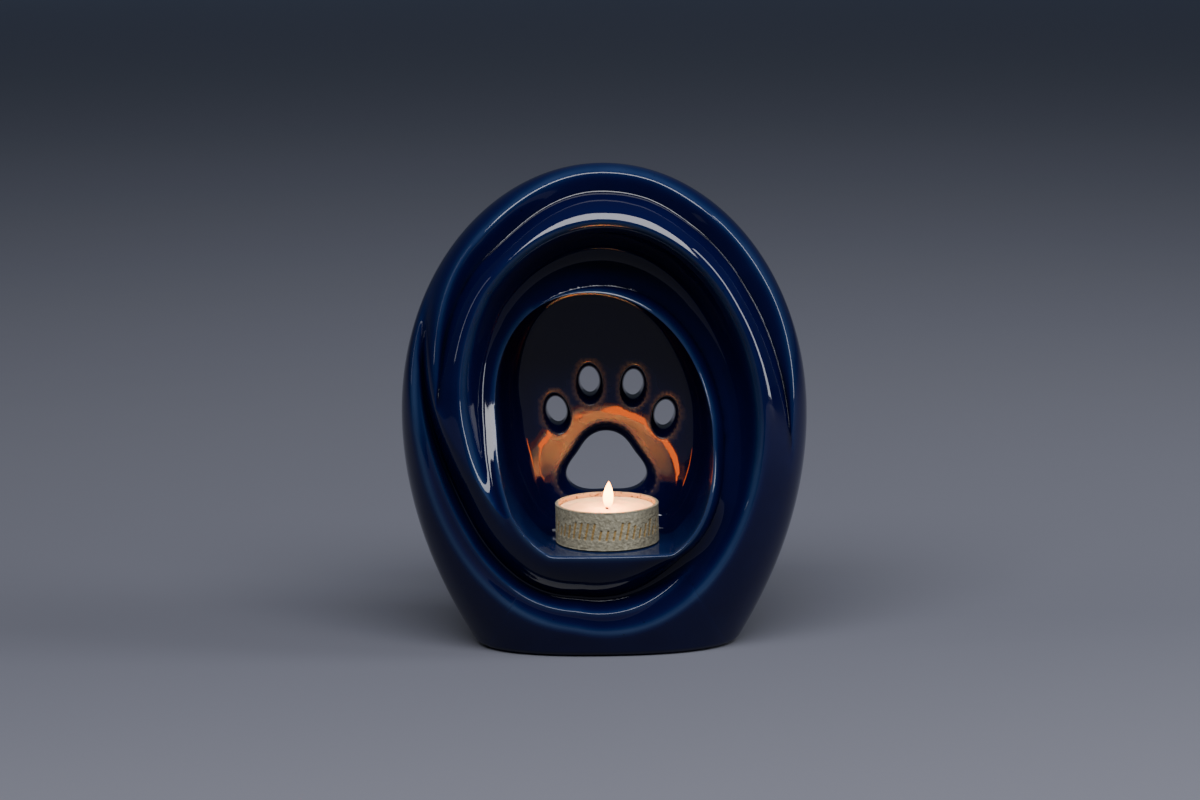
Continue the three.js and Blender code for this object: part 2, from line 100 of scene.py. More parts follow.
def grid_part(points, number=0):
    """A grid whose last column joins its first: two triangles a square, cut along the shorter diagonal."""
    columns, rows = points.shape[:2]
    here = np.arange(columns * rows).reshape(columns, rows)
    following = np.roll(here, -1, axis=0)
    a, b, c, d = here[:, :-1], following[:, :-1], following[:, 1:], here[:, 1:]
    flat = points.reshape(-1, 3)
    one_way, other_way = (np.linalg.norm(flat[p] - flat[q], axis=-1) for p, q in ((a, c), (b, d)))
    straight = (one_way <= other_way)[..., None]
    first = np.where(straight, np.stack([a, b, c], -1), np.stack([a, b, d], -1))
    second = np.where(straight, np.stack([a, c, d], -1), np.stack([b, c, d], -1))
    return points, np.concatenate([first.reshape(-1, 3), second.reshape(-1, 3)]), number


def swept(path, width, segments):
    """Rings of a given half width round a path of points that climbs."""
    swing = np.linspace(0, 2 * np.pi, segments, endpoint=False)[:, None]
    return np.stack([path[None, :, 0] + np.cos(swing) * width, path[None, :, 1] + np.sin(swing) * width,
                     np.broadcast_to(path[None, :, 2], (segments, len(path)))], -1)


def turned(axis, profile, segments):
    """Rings from rows of (radius, height) round an upright axis through a point."""
    profile = np.asarray(profile, dtype=float)
    return swept(axis + profile[:, 1:] * [0, 0, 1], profile[:, 0], segments)


def new_piece(name, parts, materials):
    """One object from parts (points in mm, triangles, material number), welded and facing outwards."""
    blocks = [points.reshape(-1, 3) for points, _, _ in parts]
    points, offsets = np.concatenate(blocks) * MM, np.cumsum([0] + [len(block) for block in blocks[:-1]])
    triangles = np.concatenate([part[1] + offset for part, offset in zip(parts, offsets)])
    numbers = np.concatenate([np.full(len(part[1]), part[2]) for part in parts])
    _, first, merged = np.unique(np.round(points / SAME_POINT).astype(np.int64), axis=0,
                                 return_index=True, return_inverse=True)
    triangles = merged.reshape(-1)[triangles]
    real = (triangles != np.roll(triangles, 1, axis=1)).all(1)
    triangles, numbers = triangles[real], numbers[real]
    mesh = bpy.data.meshes.new(name)
    mesh.from_pydata(points[first], [], triangles)
    mesh.polygons.foreach_set("material_index", numbers.astype(np.int32))
    work = bmesh.new()
    work.from_mesh(mesh)
    bmesh.ops.remove_doubles(work, verts=work.verts, dist=WELD)
    bmesh.ops.recalc_face_normals(work, faces=work.faces)
    open_edges = sum(len(edge.link_faces) != 2 for edge in work.edges)
    work.to_mesh(mesh)
    work.free()
    mesh.polygons.foreach_set("use_smooth", np.ones(len(mesh.polygons), dtype=bool))
    for material in materials:
        mesh.materials.append(material)
    piece = bpy.data.objects.new(name, mesh)
    bpy.context.scene.collection.objects.link(piece)
    print(f"{name}: {len(mesh.polygons)} triangles, {open_edges} open edges")
    return piece


def read_numbers(items, name, width, kind=np.float32):
    """One property of many points, edges or faces as a table."""
    values = np.empty(len(items) * width, kind)
    items.foreach_get(name, values)
    return values.reshape(-1, width)


def respace(across, along, count, pull):
    """Points spread along many sections at once by length plus a pull where they turn."""
    step_across, step_along = np.diff(across, axis=1), np.diff(along, axis=1)
    heading = np.unwrap(np.arctan2(step_along, step_across), axis=1)
    bend = np.minimum(np.abs(np.diff(heading, axis=1, prepend=heading[:, :1])), 1)
    travelled = np.cumsum(np.hypot(step_across, step_along) + pull * bend, axis=1)
    travelled = np.concatenate([np.zeros((len(across), 1)), travelled], axis=1)
    total = travelled[:, -1:]
    lift = np.arange(len(across))[:, None] * 2.0
    wanted = np.linspace(0, 1, count + 1)[None, :] + lift
    known = travelled / total + lift
    return [np.interp(wanted.ravel(), known.ravel(), values.ravel()).reshape(wanted.shape)
            for values in (across, along)]


# %% [markdown]
# ## The egg
# The shell is an egg that stands on a small foot. Above the waist its outline is half an ellipse,
# below it a parabola. Each level section is a superellipse, a little squarer than an ellipse,
# so that the front and back are broad and calm.

# %% Egg
WIDTH, HEIGHT, WAIST = 160.0, 191.0, 92.0
DEPTH_RATIO, TAPER_REACH, PLAN_POWER, FOOT_ROUND = 0.55, 155.0, 2.35, 2.5
HUB, HALVINGS = 90.0, 48


def foot_inset(z):
    """The foot is rounded in by a quarter circle: r - sqrt(r^2 - (r - z)^2) below z = r."""
    under = np.clip(FOOT_ROUND - z, 0, FOOT_ROUND)
    return FOOT_ROUND - np.sqrt(FOOT_ROUND ** 2 - under ** 2)


def full_half_width(z):
    """Half the width at a height: an ellipse above the waist, a parabola below it."""
    rise = (z - WAIST) / (HEIGHT - WAIST)
    drop = (WAIST - z) / TAPER_REACH
    return WIDTH / 2 * np.where(z > WAIST, np.sqrt(np.clip(1 - rise ** 2, 0, None)), 1 - drop ** 2)


def half_width(z):
    """Half the width with the foot rounded."""
    return np.maximum(full_half_width(z) - foot_inset(z), 0)


def egg_depth(x, z):
    """Forward reach at (x, z): half depth times (1 - |x / half width|^p)^(1/p)."""
    across = np.clip(np.abs(x) / np.maximum(half_width(z), 1e-6), 0, 1)
    half_depth = np.maximum(full_half_width(z) * DEPTH_RATIO - foot_inset(z), 0)
    return half_depth * (1 - across ** PLAN_POWER) ** (1 / PLAN_POWER)


def at_clock(angle, radius):
    """The point (x, z) at a distance from the hub, on an angle counter-clockwise from the top."""
    return -np.sin(np.radians(angle)) * radius, HUB + np.cos(np.radians(angle)) * radius


def outline_radius(angle):
    """Where a ray from the hub leaves the egg or meets the foot, by halving an interval."""
    inside, outside = np.zeros_like(angle), np.full_like(angle, 2 * HEIGHT)
    for _ in range(HALVINGS):
        middle = (inside + outside) / 2
        x, z = at_clock(angle, middle)
        within = (z > 0) & (z < HEIGHT) & (np.abs(x) < half_width(z))
        inside, outside = np.where(within, middle, inside), np.where(within, outside, middle)
    return inside


print("half width at the foot, waist and shoulder:", half_width(np.array([0, WAIST, 160])).round(1))

# %% [markdown]
# ## The spiral
# A carver would draw three guide lines on the leather-hard clay: the outline, the oval mouth and
# the rim of the niche. The long crest leaves the outline at the upper left, settles on the mouth
# oval at the bottom, and after one more turn runs into the rim. A cove is scooped inside it.
# Working in an angle that keeps counting past a full turn makes the spiral one plain function.

# %% Guide lines
MOUTH = (59.3, 79.2)
SPIRAL_START, SPIRAL_SETTLES, SPIRAL_LEAVES, SPIRAL_END = 41, 172, 400, 505
EARLY_PULL, EARLY_POWER, EARLY_SOFTNESS, LATE_REACH = 1.05, 1.85, 0.05, 15
GROOVE_DEPTH, GROOVE_WIDTH, FLANK_START, FLANK_WIDTH = 10.0, 10.0, 5.0, 12.0
STEP_PLACE, STEP_DEPTH = 0.58, 0.3
LIP_WIDTH, LIP_RISE = 4.5, 4.0
COVE_POWER, OPEN_COVE_POWER, RIDGE_POWER = 2, 3.2, 1.3
RIDGE_DEPTH, RIDGE_WIDTH, RIDGE_INSET, RING_FLANK = 10.0, 8.2, 2.2, 6.5
SOFT_EDGE, CRISP_EDGE, CREASE_EDGE, RIDGE_CREASE = 3.0, 1.2, 0.8, 0.5
RIM_HALF_WIDTH, RIM_UPPER, RIM_LOWER = 42.0, (51.3, 2.1, 0.12), (52.5, 2.6, 0.04)
SHELF, RIM_TOP_DEPTH, RIM_SET_BACK = 42.3, 10.0, 1
OUTER_UPPER, OUTER_LOWER = (HEIGHT - HUB, 2, 0), (115, 2, 0)
BOTTOM_WIDENING, LEAST = 4, 0.5

# Pairs of angles between which a form grows from nothing to its full size, or the carving fades.
GROOVE_DEEPENS, GROOVE_WIDENS = (SPIRAL_START, 85), (SPIRAL_START, 125)
BOTTOM_DEEPENS, BOTTOM_WIDENS, STEP_LEFT, STEP_RIGHT = (140, 190), (150, 200), (60, 95), (222, 180)
RING_OPENS, LIP_GROWS, FLANK_SPREADS, FLANK_MEETS_RIM = (190, 262), (400, 330), (75, 115), (105, 150)
RIM_LEFT, RIM_RIGHT, CARVING_FADES = (48, 142), (322, 203), (482, SPIRAL_END)
RIDGE_RIGHT, RIDGE_LEFT = (255, 315), (448, 380)
RIDGE_MOVES_IN = ((1, 350, 335), (4, 310, 265), (3, 362, 392), (9.5, 395, 440))


def oval_radius(angle, half_across, upper, lower):
    """Radius of (|sin - lean cos| / a)^p + (|cos| / reach)^p = 1, where a half is (reach, p, lean)."""
    sine, cosine = np.sin(np.radians(angle)), np.cos(np.radians(angle))
    reach, power, lean = (np.where(cosine > 0, high, low) for high, low in zip(upper, lower))
    across = np.abs(sine - lean * cosine) / half_across
    return (across ** power + (np.abs(cosine) / reach) ** power) ** (-1 / power)


def outer_radius(angle):
    """The line that the crests follow where they run along the outline."""
    return oval_radius(angle, WIDTH / 2, OUTER_UPPER, OUTER_LOWER)


def soft_min(a, b, radius):
    """The lower of two values with the corner between them rounded."""
    h = np.clip(radius - np.abs(a - b), 0, None) / radius
    return np.minimum(a, b) - h * h * radius / 4


def soft_positive(value, radius):
    """The positive part with its corner rounded."""
    return -soft_min(-value, np.zeros_like(value), radius)


def rim_radius(angle):
    """The rim of the niche: a leaning oval, cut level by the shelf."""
    oval = oval_radius(angle, RIM_HALF_WIDTH, RIM_UPPER, RIM_LOWER)
    down = -np.cos(np.radians(angle))
    level = np.where(down > 0.05, (HUB - SHELF) / np.maximum(down, 0.05), 1e3)
    return soft_min(oval, level, 1)


def crest_radius(turn_angle):
    """The long crest: outline to mouth oval, along it for a turn, then into the rim."""
    mouth = oval_radius(turn_angle, MOUTH[0], (MOUTH[1], 2, 0), (MOUTH[1], 2, 0))
    left = np.clip((SPIRAL_SETTLES - turn_angle) / (SPIRAL_SETTLES - SPIRAL_START), 0, 1)
    leaving = np.clip((turn_angle - SPIRAL_LEAVES) / (SPIRAL_END + LATE_REACH - SPIRAL_LEAVES), 0, None)
    pulled = EARLY_PULL * left ** EARLY_POWER / (left + EARLY_SOFTNESS)
    early = mix(mouth, outer_radius(turn_angle), pulled)
    return np.where(turn_angle < SPIRAL_SETTLES, early, mix(mouth, rim_radius(turn_angle), leaving))


def rim_depth(angle):
    """The rim lies deepest at the top and comes forward down both sides."""
    x, z = at_clock(angle, rim_radius(angle))
    forward = np.minimum(ease(*RIM_LEFT, angle), ease(*RIM_RIGHT, angle))
    return mix(RIM_TOP_DEPTH, egg_depth(x, z) - RIM_SET_BACK, forward)


def scoop(inward, power=2):
    """A hollow from 0 at its crest to 1 at its foot: 1 - (1 - t)^p."""
    return 1 - (1 - np.clip(inward, 0, 1)) ** power


def closed_width(turn_angle):
    """Width of the long cove where the ring beyond it is still whole."""
    widening = BOTTOM_WIDENING * ease(*BOTTOM_WIDENS, turn_angle)
    return GROOVE_WIDTH * ease(*GROOVE_WIDENS, turn_angle) + widening


def step_strength(turn_angle):
    """Where the long cove has a second, crisp edge half way down: on the left and the bottom."""
    return ease(*STEP_LEFT, turn_angle) * ease(*STEP_RIGHT, turn_angle)


def long_groove(turn_angle, radius):
    """Depth of the long groove on one of its turns: a cove, a crisp step, a crease and a rounded flank."""
    angle = turn_angle % 360
    crest, rim = crest_radius(turn_angle), rim_radius(angle)
    rim_cut = egg_depth(*at_clock(angle, rim)) - rim_depth(angle)
    opening, lip = ease(*RING_OPENS, turn_angle), ease(*LIP_GROWS, turn_angle)
    open_width = np.maximum(crest - rim - LIP_WIDTH * lip, LEAST)
    width = np.maximum(np.minimum(mix(closed_width(turn_angle), open_width, opening), open_width), LEAST)
    lip_depth = rim_cut + LIP_RISE * lip
    closed_depth = GROOVE_DEPTH * ease(*GROOVE_DEEPENS, turn_angle) + ease(*BOTTOM_DEEPENS, turn_angle)
    floor = mix(closed_depth, lip_depth, opening)
    floor = np.maximum(floor, lip_depth * ease(*BOTTOM_WIDENS, turn_angle))
    meeting = ease(*FLANK_MEETS_RIM, turn_angle)
    flank = mix(FLANK_START, FLANK_WIDTH, ease(*FLANK_SPREADS, turn_angle))
    flank = np.maximum(mix(flank, crest - width - rim, meeting), LEAST)
    flank_end = rim_cut * meeting
    inward = soft_positive((crest - radius) / width, SOFT_EDGE / width)
    plain = scoop(inward, mix(COVE_POWER, OPEN_COVE_POWER, opening))
    after = soft_positive((inward - STEP_PLACE) / (1 - STEP_PLACE), CRISP_EDGE / width)
    stepped = STEP_DEPTH * scoop(inward / STEP_PLACE) + (1 - STEP_DEPTH) * scoop(after)
    cove = floor * mix(plain, stepped, step_strength(turn_angle))
    beyond = np.clip(1 - (crest - width - radius) / flank, 0, 1)
    climb = flank_end + np.maximum(floor - flank_end, 0) * beyond ** 2
    carved = soft_min(cove, climb, CREASE_EDGE) * (1 - ease(*CARVING_FADES, turn_angle))
    return np.where((turn_angle < SPIRAL_START) | (turn_angle > SPIRAL_END), 0, np.maximum(carved, 0))


def ridge_strength(turn_angle):
    """The short crest rises on the right, runs over the top and sinks on the left."""
    return ease(*RIDGE_RIGHT, turn_angle) * ease(*RIDGE_LEFT, turn_angle)


def ridge_radius(turn_angle):
    """The short crest keeps near the outline at the top and moves in at its two ends."""
    moved = sum(size * ease(start, end, turn_angle) for size, start, end in RIDGE_MOVES_IN)
    return outer_radius(turn_angle) - RIDGE_INSET - moved


def short_groove(turn_angle, radius):
    """Depth of the groove inside the short crest, with a steep wall down to a crisp crease."""
    strength, crest = ridge_strength(turn_angle), ridge_radius(turn_angle)
    width = np.maximum(RIDGE_WIDTH * strength, LEAST)
    floor = RIDGE_DEPTH * strength ** 0.8
    cove = floor * scoop(soft_positive((crest - radius) / width, CRISP_EDGE / width), RIDGE_POWER)
    climb = floor * np.clip(1 - (crest - width - radius) / RING_FLANK, 0, 1) ** 2
    return np.where(strength > 0, np.maximum(soft_min(cove, climb, RIDGE_CREASE), 0), 0)


def front_depth(angle, radius):
    """Forward reach of the carved front outside the rim: the egg less the deepest groove."""
    cut = [groove(angle + lap, radius) for groove in (long_groove, short_groove) for lap in (0, 360)]
    return egg_depth(*at_clock(angle, radius)) - np.max(cut, axis=0)


some = np.array([0.0, 90, 180, 270])
print("crest radius at four quarters, first and second turn:",
      crest_radius(some).round(1), crest_radius(some + 360).round(1))

# %% [markdown]
# ## Skin of the front and the niche
# The skin is cut into radial sections like slices of a cake. Each section runs from the outline
# over the carved front to the rim, back along the niche wall and through a fillet to the panel.
# The sections are denser round the corners of the foot, and the points denser where a section
# bends, so that the glaze's reflections stay smooth.

# %% Sections
PANEL, BOWL_CURVE, BOWL_REACH, BOWL_FADE, WALL = 10.0, 85.0, 27.0, 12.0, 5.0
BOWL_MIDDLE = (-1.0, 57.0)
COLUMNS, RELIEF_ROWS, NICHE_ROWS, BACK_ROWS = 500, 112, 22, 16
CORNER_PULL, RELIEF_PULL, NICHE_PULL = 9, 7, 5
FILLET, LEFT_FILLET, RIGHT_FILLET, WALL_LEAN = 5, 11, 7, 2


def shell_point(angle, radius, depth):
    """Row-frame point in mm of a clock angle, radius and forward depth, never under the foot."""
    x, z = at_clock(angle, radius)
    return np.stack(np.broadcast_arrays(x, middle_y / MM - depth, np.maximum(z, 0)), -1)


def column_angles():
    """Angles spread by the outline's length plus a pull at the corners of the foot."""
    fine = np.linspace(0, 360, 7201)
    x, z = at_clock(fine, outline_radius(fine))
    step = np.hypot(np.diff(x), np.diff(z))
    heading = np.unwrap(np.arctan2(np.diff(z), np.diff(x)))
    bend = np.abs(np.diff(heading, prepend=heading[:1]))
    travelled = np.concatenate([[0], np.cumsum(step + CORNER_PULL * bend)])
    angles = np.interp(np.arange(COLUMNS) / COLUMNS, travelled / travelled[-1], fine)
    corner = 180 - np.degrees(np.arctan2(half_width(np.array(0.0)), HUB))
    for exact in (corner, 360 - corner):
        angles[np.abs(angles - exact).argmin()] = exact
    return angles


def panel_depth(x, z):
    """The egg's back less a bowl: r^2 / 2c as far as its reach, and a slope that dies out beyond."""
    away = np.hypot(x - BOWL_MIDDLE[0], z - BOWL_MIDDLE[1])
    inner = np.minimum(away, BOWL_REACH)
    beyond = BOWL_REACH * BOWL_FADE * (1 - np.exp(-(away - inner) / BOWL_FADE))
    return PANEL + (inner ** 2 / 2 + beyond) / BOWL_CURVE - egg_depth(x, z)


def fillet_width(angle):
    """The niche turns into the panel by a fillet, which is wide at the sides, most so on the left."""
    away = np.abs(angle - 180)
    side = ease(18, 60, away) * ease(165, 120, away)
    return mix(FILLET, np.where(angle < 180, LEFT_FILLET, RIGHT_FILLET), side)


def wall_lean(angle):
    """How far the niche wall leans in between the rim and the panel: not at all along the shelf."""
    return WALL_LEAN * ease(25, 50, np.abs(angle - 180))


clock = column_angles()[:, None]
outline, rim = outline_radius(clock), rim_radius(clock)
share = np.linspace(0, 1, 801)[None]
radius = outline - (outline - rim) * mix(share ** 2, share, 0.45)
depth = front_depth(clock, radius)
outline_x, outline_z = at_clock(clock[:, 0], outline[:, 0])
on_side = (outline_z > 1e-6) | (half_width(np.zeros(1)) - np.abs(outline_x) < 1e-6)
depth[on_side, 0] = 0
depth[:, -1] = rim_depth(clock)[:, 0]
relief_radius, relief_depth = respace(radius, depth, RELIEF_ROWS, RELIEF_PULL)

lean, turn_in = wall_lean(clock), fillet_width(clock)
rim_back = rim_depth(clock)
panel_edge = panel_depth(*at_clock(clock, rim - lean - turn_in))
fillet = np.clip((rim_back - panel_edge) * 0.7, 0, 1.2 * turn_in)
straight = np.linspace(0, 1, 40)[None]
swing = np.linspace(0, np.pi / 2, 40)[None, 1:]
wall_radius = np.concatenate([rim - lean * straight, rim - lean - turn_in * (1 - np.cos(swing))], 1)
wall_depth = np.concatenate([mix(rim_back, panel_edge + fillet, straight),
                             panel_edge + fillet * (1 - np.sin(swing))], 1)
niche_radius, niche_depth = respace(wall_radius, wall_depth, NICHE_ROWS, NICHE_PULL)

front_skin = shell_point(clock, relief_radius, relief_depth)
niche_skin = shell_point(clock, niche_radius, niche_depth)
print("front skin:", front_skin.shape, "niche skin:", niche_skin.shape)

# %% [markdown]
# ## Paw window
# The panel is pierced by four toes and a pad. A cutter leaves sharp edges, and the glaze and a
# wet sponge round them, so each hole is a tube whose mouth flares by a quarter circle.
# The flat areas round the holes are filled by a triangulation that has the holes' loops as edges.

# %% Holes
TOES = ((-19.3, 87, 10), (-5.8, 99, 3), (12, 97.6, -3), (24.6, 85, -10))
TOE_HALVES, TOE_FLARE, TOE_POINTS = (4, 6.1), 2.6, 72
PAD, PAD_HALVES, PAD_SWELL, PAD_RISE, PAD_FLARE, PAD_POINTS = (0.6, 62.5), (15.6, 12.6), 0.13, 1.3, 3.3, 132
PANEL_SPACING, BACK_SPACING, FOOT_SPACING = 1.5, 2.5, 5
ROUNDING, BACK_ROUNDING = 1.0, 1.2
THROAT, TOE_FLARE_ACROSS = 0.35, 0.6


def toe_section(place, growth):
    """A leaning oval that the growth widens, less so across."""
    round_it = np.linspace(0, 2 * np.pi, TOE_POINTS, endpoint=False)
    across = np.cos(round_it) * (TOE_HALVES[0] + growth * TOE_FLARE_ACROSS)
    along = np.sin(round_it) * (TOE_HALVES[1] + growth)
    tilt = np.radians(place[2])
    return np.stack([place[0] + across * np.cos(tilt) - along * np.sin(tilt),
                     place[1] + across * np.sin(tilt) + along * np.cos(tilt)], -1)


def pad_section(growth):
    """A circle whose radius swells three times, which makes a rounded triangle with its point up."""
    round_it = np.linspace(0, 2 * np.pi, PAD_POINTS, endpoint=False)
    swell = 1 + PAD_SWELL * np.sin(3 * round_it + np.pi)
    return np.stack([PAD[0] + np.cos(round_it) * swell * (PAD_HALVES[0] + growth),
                     PAD[1] + np.sin(round_it) * swell * (PAD_HALVES[1] + growth) + PAD_RISE], -1)


def hole_tube(section, flare):
    """Loops from the panel's face over a rounded edge, through a throat, to the edge at the back."""
    quarter = np.linspace(0, np.pi / 2, 9)
    rows = []
    for swing_at in quarter:
        loop = section(flare + ROUNDING * (1 - np.sin(swing_at)))
        rows.append((loop, panel_depth(loop[:, 0], loop[:, 1]) - ROUNDING * (1 - np.cos(swing_at))))
    front = rows[-1][1]
    for t in np.concatenate([np.linspace(0, THROAT, 9)[1:], np.linspace(THROAT, 1, 4)[1:]]):
        loop = section(flare * max(1 - t / THROAT, 0) ** 1.5)
        rows.append((loop, mix(front, BACK_ROUNDING - egg_depth(loop[:, 0], loop[:, 1]), t)))
    for swing_at in quarter[::-1][1:]:
        loop = section(BACK_ROUNDING * (1 - np.sin(swing_at)))
        rows.append((loop, BACK_ROUNDING * (1 - np.cos(swing_at)) - egg_depth(loop[:, 0], loop[:, 1])))
    return np.stack([np.column_stack([loop[:, 0], middle_y / MM - at, loop[:, 1]]) for loop, at in rows], 1)


def inside_loop(points, loop):
    """Which points lie inside a closed loop, by counting the edges to their right."""
    x, z = points[:, 0][:, None], points[:, 1][:, None]
    x1, z1 = loop[:, 0][None], loop[:, 1][None]
    x2, z2 = np.roll(loop[:, 0], -1)[None], np.roll(loop[:, 1], -1)[None]
    crosses = (z1 > z) != (z2 > z)
    at = x1 + (z - z1) / np.where(z2 == z1, 1e-9, z2 - z1) * (x2 - x1)
    return (crosses & (x < at)).sum(1) % 2 == 1


def filled_patch(outer, holes, spacing, height_at):
    """Triangles between an outer loop and holes, all (x, z); height_at(x, z) gives the third value."""
    low, high = outer.min(0), outer.max(0)
    lines = [np.arange(low[i] + spacing, high[i], spacing) for i in (0, 1)]
    dots = np.stack(np.meshgrid(*lines), -1).reshape(-1, 2)
    loops = [outer, *holes]
    room = np.min([np.linalg.norm(dots[:, None] - loop[None], axis=-1).min(1) for loop in loops], 0)
    keep = inside_loop(dots, outer) & (room > spacing * 0.6)
    for loop in holes:
        keep &= ~inside_loop(dots, loop)
    starts = np.cumsum([0] + [len(loop) for loop in loops])
    edges = np.concatenate([start + np.stack([np.arange(len(loop)), np.roll(np.arange(len(loop)), -1)], -1)
                            for start, loop in zip(starts, loops)])
    flat = np.concatenate([*loops, dots[keep]])
    made = delaunay_2d_cdt([Vector(p) for p in flat], [tuple(map(int, e)) for e in edges], [], 0, 1e-7)
    flat, faces = np.array([tuple(p) for p in made[0]]), np.array([tuple(f) for f in made[2]])
    middle = flat[faces].mean(1)
    kept = inside_loop(middle, outer)
    for loop in holes:
        kept &= ~inside_loop(middle, loop)
    return height_at(flat[:, 0], flat[:, 1]), faces[kept]


def on_panel(x, z):
    """Points of the panel's face."""
    return np.column_stack([x, middle_y / MM - panel_depth(x, z), z])


def on_back(x, z):
    """Points of the egg's back."""
    return np.column_stack([x, middle_y / MM + egg_depth(x, z), z])


tubes = [hole_tube(lambda growth, toe=toe: toe_section(toe, growth), TOE_FLARE) for toe in TOES]
tubes.append(hole_tube(pad_section, PAD_FLARE))
panel_loop = niche_skin[:, -1][:, [0, 2]]
mouths = [tube[:, 0][:, [0, 2]] for tube in tubes]
panel_patch = filled_patch(panel_loop, mouths, PANEL_SPACING, on_panel)
print("panel patch:", len(panel_patch[1]), "triangles, tubes:", [tube.shape[:2] for tube in tubes])

# %% [markdown]
# ## Back and foot
# The back is the plain egg. Its sections share the outline's points with the front, so the shell
# closes without a seam. The foot is flat, and the hole in it is where the ashes go in.

# %% Back, foot and filling hole
FILLING, LIP, BORE_TOP, RING_POINTS = 16.0, 0.8, 14.0, 72
BACK_PATCH = (42, (28, 2, 0), (52, 2, 0))
FOOT_AXIS = np.array([0, middle_y / MM, 0])
patch_radius = oval_radius(clock, *BACK_PATCH)
inwards = np.linspace(0, 1, BACK_ROWS + 1)[None]
back_radius = mix(outline, patch_radius, 1 - np.cos(np.pi / 2 * inwards))
back_skin = shell_point(clock, back_radius, -egg_depth(*at_clock(clock, back_radius)))
back_skin[on_side, 0] = front_skin[on_side, 0]
back_ends = [tube[:, -1][:, [0, 2]] for tube in tubes]
back_patch = filled_patch(back_skin[:, -1][:, [0, 2]], back_ends, BACK_SPACING, on_back)

on_foot = np.flatnonzero(~on_side)
first, last = on_foot[0] - 1, on_foot[-1] + 1
foot_loop = np.concatenate([front_skin[first:last + 1, 0], back_skin[on_foot[::-1], 0]])[:, :2]
mouth_ring = turned(FOOT_AXIS, [(FILLING + LIP, 0)], RING_POINTS)[:, 0, :2]
foot_patch = filled_patch(foot_loop, [mouth_ring], FOOT_SPACING, lambda x, y: np.column_stack([x, y, 0 * x]))
print("back skin:", back_skin.shape, "foot patch:", len(foot_patch[1]), "triangles")

# %% [markdown]
# ## The hollow
# A slip-cast piece has walls of one thickness, because the plaster mould draws water evenly from
# the slip. The hollow is a ring round the niche, one wall inside every face, joined by the hole.

# %% Chamber
CHAMBER_STEP, CHAMBER_ROOM, CHAMBER_LEAST, WALL_SEARCH = 5.0, 8, 4, 5.5


def chamber_front(angle, at_radius):
    """Lowest carved front within a wall's reach either way, less one wall."""
    lowest = []
    for step in np.linspace(-WALL_SEARCH, WALL_SEARCH, 5):
        reach = np.minimum(at_radius + step, outline_radius(angle) - 0.5)
        lowest.append(np.where(reach < rim_radius(angle), RIM_TOP_DEPTH, front_depth(angle, reach)))
    return np.min(lowest, axis=0) - WALL


ring_clock = np.arange(0, 360, CHAMBER_STEP)[:, None]
chamber_outer = outline_radius(ring_clock) - WALL - 1
tries = rim_radius(ring_clock) + WALL + 1 + 0.5 * np.arange(80)[None]
gap = chamber_front(ring_clock, tries) + egg_depth(*at_clock(ring_clock, tries)) - WALL
fits = (gap >= CHAMBER_ROOM) | (tries >= chamber_outer - 3)
chamber_inner = np.take_along_axis(tries, fits.argmax(1)[:, None], 1)
chamber_radius = mix(chamber_inner, chamber_outer, np.linspace(0, 1, 10)[None])
chamber_back = WALL - egg_depth(*at_clock(ring_clock, chamber_radius))
chamber_face = np.maximum(chamber_front(ring_clock, chamber_radius), chamber_back + CHAMBER_LEAST)
chamber_skin = np.concatenate([shell_point(ring_clock, chamber_radius, chamber_face),
                               shell_point(ring_clock, chamber_radius, chamber_back)[:, ::-1]], 1)
chamber_skin = np.concatenate([chamber_skin, chamber_skin[:, :1]], 1)


bore = turned(FOOT_AXIS, [(0, LIP), (FILLING, LIP), (FILLING, BORE_TOP), (0, BORE_TOP)], RING_POINTS)


def joined_hollow():
    """The ring and the bore made one surface by a union, then the bore's lower end taken off."""
    ring_piece = new_piece("ring", [grid_part(chamber_skin)], [])
    bore_piece = new_piece("bore", [grid_part(bore)], [])
    union = ring_piece.modifiers.new("join", "BOOLEAN")
    union.operation, union.solver, union.object = "UNION", "MANIFOLD", bore_piece
    shaped = ring_piece.evaluated_get(bpy.context.evaluated_depsgraph_get()).to_mesh()
    points = read_numbers(shaped.vertices, "co", 3).astype(float) / MM
    shaped.calc_loop_triangles()
    faces = read_numbers(shaped.loop_triangles, "vertices", 3, np.int32)
    for piece in (ring_piece, bore_piece):
        bpy.data.objects.remove(piece)
    lid = np.all(points[faces][..., 2] < LIP + 0.01, axis=1)
    return points, faces[~lid]


hollow = joined_hollow()
quarter = np.linspace(0, np.pi / 2, 6)
lip_profile = np.column_stack([FILLING + LIP * (1 - np.sin(quarter)), LIP * (1 - np.cos(quarter))])
lip = turned(FOOT_AXIS, lip_profile, RING_POINTS)
print("hollow:", len(hollow[1]), "triangles")

# %% [markdown]
# ## Effects that several finishes share
# Mottle is a soft change of value over a surface, as where a glaze is thicker or a wax cooler.
# Speckle is a scatter of small round dots, as iron spots in clay or fibres in board.
# Each is a node group that puts out one value, so that every material sets its own scale.

# %% Node groups
FIBRE_SCALE, NOISE_SPREAD = 260, (0.3, 0.7)


def add_node(tree, kind, inputs, **settings):
    """A node with its settings; each of its inputs is fed by a socket or set to a number or colour."""
    node = tree.nodes.new("ShaderNode" + kind)
    for name, value in settings.items():
        setattr(node, name, value)
    for label, value in inputs.items():
        if isinstance(value, bpy.types.NodeSocket):
            tree.links.new(value, node.inputs[label])
        else:
            node.inputs[label].default_value = (*value, 1) if isinstance(value, tuple) else value
    return node


def spread(tree, value, source=(0, 1), target=(0, 1)):
    """A value taken from one span to another, and kept inside it."""
    spans = dict(zip(("From Min", "From Max", "To Min", "To Max"), (*source, *target)))
    return add_node(tree, "MapRange", {"Value": value, **spans}).outputs["Result"]


